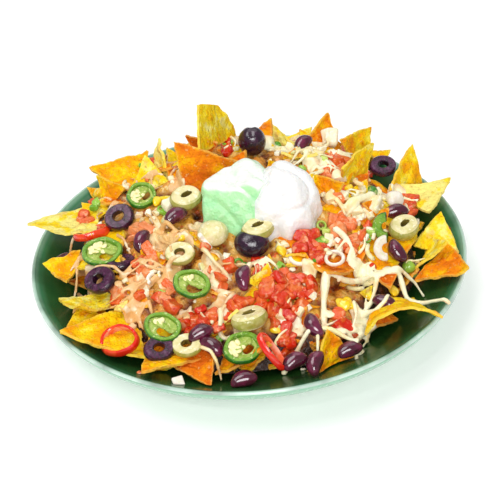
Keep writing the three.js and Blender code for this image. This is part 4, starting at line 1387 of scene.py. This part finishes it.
# Each string has its way over the heap as x, y places, and its thickness. Where a height is given
# too, the string hangs free there.
WEB = [
    ([(50, -62), (56, -65), (65, -59), (73, -53), (83, -48)], 4.1),
    ([(83, -48), (78, -52), (73, -65), (66, -74)], 3.6),
    ([(83, -48), (92, -48), (95, -59), (101, -63), (109, -67), (116, -72, 37), (119, -75, 35.5)], 3.9),
    ([(83, -48), (94, -45), (102, -46), (107, -50)], 3.0),
    ([(46, -62), (43, -73), (42, -83)], 5.5),
    ([(66, -74), (61, -70), (62, -79), (59, -87)], 3.2),
    ([(73, -77), (65, -86), (61, -96), (59, -104, 31), (59, -105, 22)], 3.9),
    ([(40, -85), (46, -92), (55, -91), (62, -96)], 4.1),
    ([(15, -108), (27, -101), (34, -98), (46, -97), (56, -100), (62, -99)], 3.4),
    ([(37, -101), (36, -109, 31), (33, -112, 23)], 2.5),
    ([(73, -54), (60, -61), (52, -67)], 3.0),
    ([(66, -74), (73, -77), (80, -74), (84, -66)], 3.2),
    ([(64, -3), (71, 2), (78, 8), (86, 16)], 6.2),
    ([(58, 3), (61, -2), (63, -9)], 3.6),
    ([(55, -21), (59, -27), (63, -35), (65, -42)], 4.1),
    ([(47, -45), (50, -39), (55, -39)], 3.0),
    ([(-61, -9), (-59, -17), (-58, -28)], 4.4),
    ([(-55, -12), (-53, -21), (-48, -28), (-47, -35)], 3.2),
    ([(-76, -49), (-72, -60), (-69, -69)], 2.6),
    ([(-70, -61), (-67, -71)], 2.2),
    ([(-63, -56), (-61, -65), (-60, -73)], 2.6),
    ([(-81, -57), (-78, -63)], 2.0),
    ([(-105, -5), (-109, -10), (-111, -24), (-114, -34)], 2.8),
    ([(-111, -17), (-107, -27), (-103, -38)], 3.2),
    ([(-105, 8), (-110, 9), (-115, 8), (-118, 5)], 3.0),
    ([(-99, -29), (-92, -29), (-84, -31), (-78, -38), (-73, -45)], 2.8),
    ([(-108, -52), (-110, -58)], 2.4),
    ([(-19, -80), (-19, -85), (-20, -90)], 4.2),
    ([(-32, -102), (-26, -106), (-23, -112, 36), (-21, -116, 24)], 2.6),
    ([(-20, -61), (-15, -64), (-10, -67)], 3.6),
    ([(-28, -39), (-21, -46), (-17, -50), (-12, -54)], 3.6),
    ([(-52, -42), (-47, -40), (-41, -37)], 3.4),
    ([(-10, -67), (-14, -72), (-19, -80)], 2.8),
    ([(-54, -6), (-48, -11), (-41, -14)], 3.6),
    ([(-83, 2), (-78, -6), (-74, -18)], 2.6),
]
# Where strings meet, the cheese has run to a small skin: its middle and how wide it is.
SKINS = [(85, -47, 8), (80, -50, 7), (67, -76, 9), (70, -72, 7), (51, -92, 8), (60, -96, 10)]
SKINS += [(55, -94, 9), (75, -51, 7), (49, -48, 5), (62, -84, 9), (58, -90, 8), (46, -80, 7)]
SKINS += [(-81, -45, 6), (-61, -17, 7), (84, 12, 7)]
# Elsewhere it has sunk over what it lies on in ragged sheets: the middle of each and its width.
SHEETS = [(-56, -16, 17), (-44, -24, 19), (-28, -10, 16), (-66, -44, 14), (-48, -44, 16)]
SHEETS += [(-20, -42, 19), (-24, -56, 12), (-20, -72, 14), (-40, -74, 12), (-72, -60, 12)]
SHEETS += [(-98, -22, 14), (-104, -2, 12), (-84, 32, 14), (68, -46, 14), (64, -78, 12)]
SHEETS += [(76, 6, 20), (66, -6, 15), (52, 46, 20), (44, 62, 16), (92, 30, 18), (-8, -88, 12)]
SHEETS += [(22, 74, 18), (34, 70, 14), (-42, 34, 14), (36, -52, 13), (0, 86, 26), (-50, 86, 22)]
SHEETS += [(50, 88, 22), (104, 44, 16), (24, -88, 12)]
# Where the grated cheese fell thick it has melted to broad ribbons: a patch, its spread and count.
RIBBON_PATCHES = [
    (-60, -12, 12, 5), (-45, -22, 14, 6), (-24, -14, 12, 4), (-20, -42, 14, 5), (-55, -44, 14, 5),
    (-36, -72, 9, 3), (-72, -50, 10, 4), (4, -50, 8, 4), (-84, -36, 8, 4), (-100, -10, 10, 6),
    (-88, 30, 12, 7), (-60, 40, 14, 8), (70, -46, 12, 7), (62, -78, 10, 6), (78, 6, 12, 8),
    (100, -30, 8, 5), (96, 30, 12, 7), (50, 50, 14, 8), (0, 84, 30, 12), (-60, 84, 20, 8),
    (60, 84, 20, 8),
]
SHREDS = 44
SHEET_THICKNESS = 1.8
FUSE_GRAIN = 0.8  # strings, skins and sheets are melted together in grains of this
SPAN = 2.5  # strings are drawn in steps of this
SETTLING = 16  # how many times each string is eased down to what carries it
dice_tree = tree_of([tomatoes, onions, kernels, green_pieces])


def heap_surface(x, y):
    """Height of the highest thing at x, y, but not of chips that stand far out of the heap."""
    start = Vector((x * MM, y * MM, 0.3))
    hits = [tree.ray_cast(start, DOWN)[0] for tree in (ground_tree, topping_tree, dice_tree)]
    top = max([hit.z / MM for hit in hits if hit is not None], default=0)
    return min(top, heap_top(x, y) + 12)


def draped(places, thick):
    """A string laid over the heap along its places: it rests on what stands out and spans the rest."""
    way, held = [], []
    for (x, y, *height), (next_x, next_y, *next_height) in zip(places, places[1:]):
        steps = max(1, round(math.hypot(next_x - x, next_y - y) / SPAN))
        for i in range(steps):
            share = i / steps
            way.append((x + (next_x - x) * share, y + (next_y - y) * share))
            both = height and next_height
            held.append(height[0] + (next_height[0] - height[0]) * share if both else None)
    way.append(places[-1][:2])
    held.append(places[-1][2] if len(places[-1]) > 2 else None)
    floor = [heap_surface(x, y) + 0.12 * thick for x, y in way]
    heights = [low if set_by is None else set_by for low, set_by in zip(floor, held)]
    for _ in range(SETTLING):
        for i in range(1, len(way) - 1):
            if held[i] is None:
                heights[i] = max(floor[i], (heights[i - 1] + heights[i + 1]) / 2 - 0.03)
    return [Vector((x, y, z)) * MM for (x, y), z in zip(way, heights)]


def strings(name, paths):
    """Round strings along paths of points, each with its thickness, as one mesh."""
    curve = bpy.data.curves.new(name, "CURVE")
    curve.dimensions = "3D"
    curve.bevel_depth = 0.5 * MM
    curve.bevel_resolution = 1
    curve.resolution_u = 2
    curve.use_fill_caps = True
    for points, thick in paths:
        spline = curve.splines.new("NURBS")
        spline.points.add(len(points) - 1)
        spline.use_endpoint_u = True
        spline.order_u = 3
        for i, point in enumerate(points):
            along = i / (len(points) - 1)
            spline.points[i].co = (*point, 1)
            spline.points[i].radius = thick * (1.12 - 0.45 * along + 0.35 * ruffle(*(point / MM), 5))
    piece = bpy.data.objects.new(name, curve)
    scene.collection.objects.link(piece)
    picked(piece)
    bpy.ops.object.convert(target="MESH")
    return bpy.context.object


def cheese_paths():
    """The web, then ribbons of a few strings side by side in their patches, then single shreds."""
    paths = [(draped(places, thick), thick) for places, thick in WEB]
    draw = random.Random(21)
    starts = []
    for x, y, spread, count in RIBBON_PATCHES:
        for _ in range(count):
            angle, reach = draw.uniform(0, 2 * math.pi), spread * math.sqrt(draw.random())
            at = x + reach * math.cos(angle), y + reach * math.sin(angle)
            starts.append((*at, draw.uniform(2.6, 4.2), draw.uniform(1.7, 2.5), draw.choice((1, 2, 2, 3))))
    for _ in range(SHREDS):
        angle, reach = draw.uniform(0, 2 * math.pi), 0.84 * HEAP_RADIUS * math.sqrt(draw.random())
        x, y = reach * math.cos(angle), HEAP_BACK + reach * math.sin(angle)
        starts.append((x, y, draw.uniform(2.2, 3.6), draw.uniform(2, 2.9), 1))
    for x, y, step, thick, rows in starts:
        heading, bend = draw.uniform(0, 2 * math.pi), draw.uniform(-0.45, 0.45)
        for row in range(rows):
            aside = 1.05 * thick * (row - (rows - 1) / 2)
            first = x - aside * math.sin(heading), y + aside * math.cos(heading)
            points = draped_from(*first, heading + 0.1 * row, bend, step, thick)
            if points is not None:
                paths.append((points, thick))
    return paths


def draped_from(x, y, heading, bend, step, thick):
    """A string that starts at x, y and bends as it goes, or nothing if it runs into something."""
    places = []
    for _ in range(5):
        if landing(x, y, 1, 8) is None:
            break
        places.append((x, y))
        x += step * math.cos(heading)
        y += step * math.sin(heading)
        heading += bend
    if len(places) < 3:
        return None
    points = draped(places, thick)
    if max(abs(a.z - b.z) for a, b in zip(points, points[1:])) > 4 * MM:
        return None
    return points


def skin(x, y, wide):
    """A flat drop of cheese where strings have run together."""
    at = Vector((x, y, heap_surface(x, y) + 1)) * MM
    piece = made(bpy.ops.mesh.primitive_ico_sphere_add, subdivisions=3, radius=wide / 2 * MM, location=at)
    bpy.ops.transform.resize(value=(1, 1, 0.34))
    bpy.ops.object.transform_apply()
    return piece


def sheet(x, y, wide, seed):
    """A ragged sheet that has sunk over what lies under it."""
    piece = made(bpy.ops.mesh.primitive_grid_add, x_subdivisions=26, y_subdivisions=26, size=2)
    for corner in piece.data.vertices:
        u, v = corner.co.to_2d()
        angle = math.atan2(v, u)
        reach = max(abs(u), abs(v)) * wide / 2
        reach *= 1 + 0.7 * ruffle(1.6 * math.cos(angle), 1.6 * math.sin(angle), 0, 1, seed)
        at = Vector((x + reach * math.cos(angle), y + reach * math.sin(angle), 300)) * MM
        rest = ground_tree.ray_cast(at, DOWN)[0]
        top = min(rest.z / MM, heap_top(at.x / MM, at.y / MM) + 6)
        corner.co = at.x, at.y, (top + 2 * ruffle(*(at / MM), 6, seed) + 0.3) * MM
    worked(piece, "SMOOTH", factor=0.5, iterations=4)
    worked(piece, "SOLIDIFY", thickness=SHEET_THICKNESS * MM, offset=0)
    return piece


cheese = strings("melted_cheese_strings", cheese_paths())
skins = [skin(*place) for place in SKINS]
sheets = [sheet(*place, seed) for seed, place in enumerate(SHEETS)]
cheese = joined([cheese, *skins, *sheets], "melted_cheese_strings")
worked(cheese, "REMESH", mode="VOXEL", voxel_size=FUSE_GRAIN * MM, use_smooth_shade=True)
worked(cheese, "SMOOTH", factor=0.5, iterations=3)
off_glaze(cheese)
peach = marked(cheese, "peach")
for corner in cheese.data.vertices:
    x, y, z = corner.co / MM
    stained = 0.4 - x / 70 + 1.1 * ruffle(x, y, z, 16)
    peach.data[corner.index].value = within(stained)
string_cheese = Finish("string_cheese", "#fbf5cc")
string_cheese.patches(26, 0.5, 0.62, "#f8eaa0", 0.7)
string_cheese.coat(string_cheese.attribute("peach"), "#e6ac66", 0.85)
string_cheese.patches(11, 0.52, 0.66, "#ec9e64", 0.4)
string_cheese.patches(8, 0.53, 0.65, "#fff8da", 0.6)
string_cheese = string_cheese.relief(2, 0.2).done(0.2, 0.34, **soaked(0.12, 5, 4, 3))
heaped(cheese, string_cheese)


# ---- Crumbs -------------------------------------------------------------------------------------
# Broken chip, curds of cheese and specks of vegetable that settle between the larger things.

CRUMB_PATCHES = [(0, HEAP_BACK, 108, 190), (-66, -106, 4, 3), (30, -110, 10, 8)]
CRUMB_PATCHES += [(124, 0, 5, 6), (50, -102, 8, 5)]


def crumb_model(seed):
    """A coarse ball, pushed out of true."""
    crumb = made(bpy.ops.mesh.primitive_ico_sphere_add, subdivisions=2, radius=1.4 * MM)
    bpy.ops.object.shade_smooth()
    crumb.data.transform(Matrix.Diagonal((1.25, 1, 0.8, 1)))
    return wobbled(crumb, seed, 0.8, 1.6)


crumb_finish = Finish("crumbs", "#f0b060")
crumb_tones = [(0.0, "#fffae6"), (0.45, "#fae8b8"), (0.65, "#f4b878"), (0.8, "#e8683c")]
crumb_tones += [(0.9, "#d8982c"), (0.96, "#8a4a1c"), (1.0, "#5a9a28")]
crumb_finish.toned(crumb_finish.attribute("tone"), crumb_tones)
crumb_finish.patches(1.6, 0.5, 0.66, "#fff2cc", 0.4)
crumb_finish = crumb_finish.relief(1, 0.2).done(0.3, 0.5)
crumb_models = [crumb_model(1), crumb_model(2), crumb_model(3)]
crumbs = sown("crumbs", crumb_models, CRUMB_PATCHES, 15, clear=1.0, lift=0.5, sizes=(0.6, 1.5), tall=6)
dropped(*crumb_models)
heaped(crumbs, crumb_finish)


# ---- Table and light ----------------------------------------------------------------------------
# A plain pale table under large soft lights, the strongest of them in front and overhead.

TABLE_SIDE = 6  # metres
DAYLIGHT = 0.34
LIGHTS_AIM = (0, 0, 0.04)

table = made(bpy.ops.mesh.primitive_plane_add, size=TABLE_SIDE)
table.name = "table_top"
table_paint = Finish("pale_table", "#f1f1f0")
table_paint.patches(60, 0.4, 0.6, "#f3f3f2", 0.5)
coated(table, table_paint.done(0.6, 0.7, emission_strength=0.16))


def soft_light(name, at, size, watts):
    """A round light turned to the plate: place and size in metres."""
    bpy.ops.object.light_add(type="AREA", location=at)
    light = bpy.context.object
    light.name = name
    light.data.shape = "DISK"
    light.data.size = size
    light.data.energy = watts
    light.rotation_euler = (Vector(LIGHTS_AIM) - light.location).to_track_quat("-Z", "Y").to_euler()


soft_light("window", (0.36, 1.2, 2.4), 2.4, 14)
soft_light("overhead", (-0.96, -0.24, 2.64), 1.8, 32)
soft_light("front", (0.24, -2.4, 1.8), 1.4, 46)
soft_light("small_lamp", (-0.9, -1.7, 2.2), 0.12, 6)

world = scene.world or bpy.data.worlds.new("daylight")
scene.world = world
world.use_nodes = True
sky = world.node_tree.nodes["Background"]
sky.inputs["Color"].default_value = (1, 1, 1, 1)
sky.inputs["Strength"].default_value = DAYLIGHT
scene.view_settings.view_transform = "Standard"
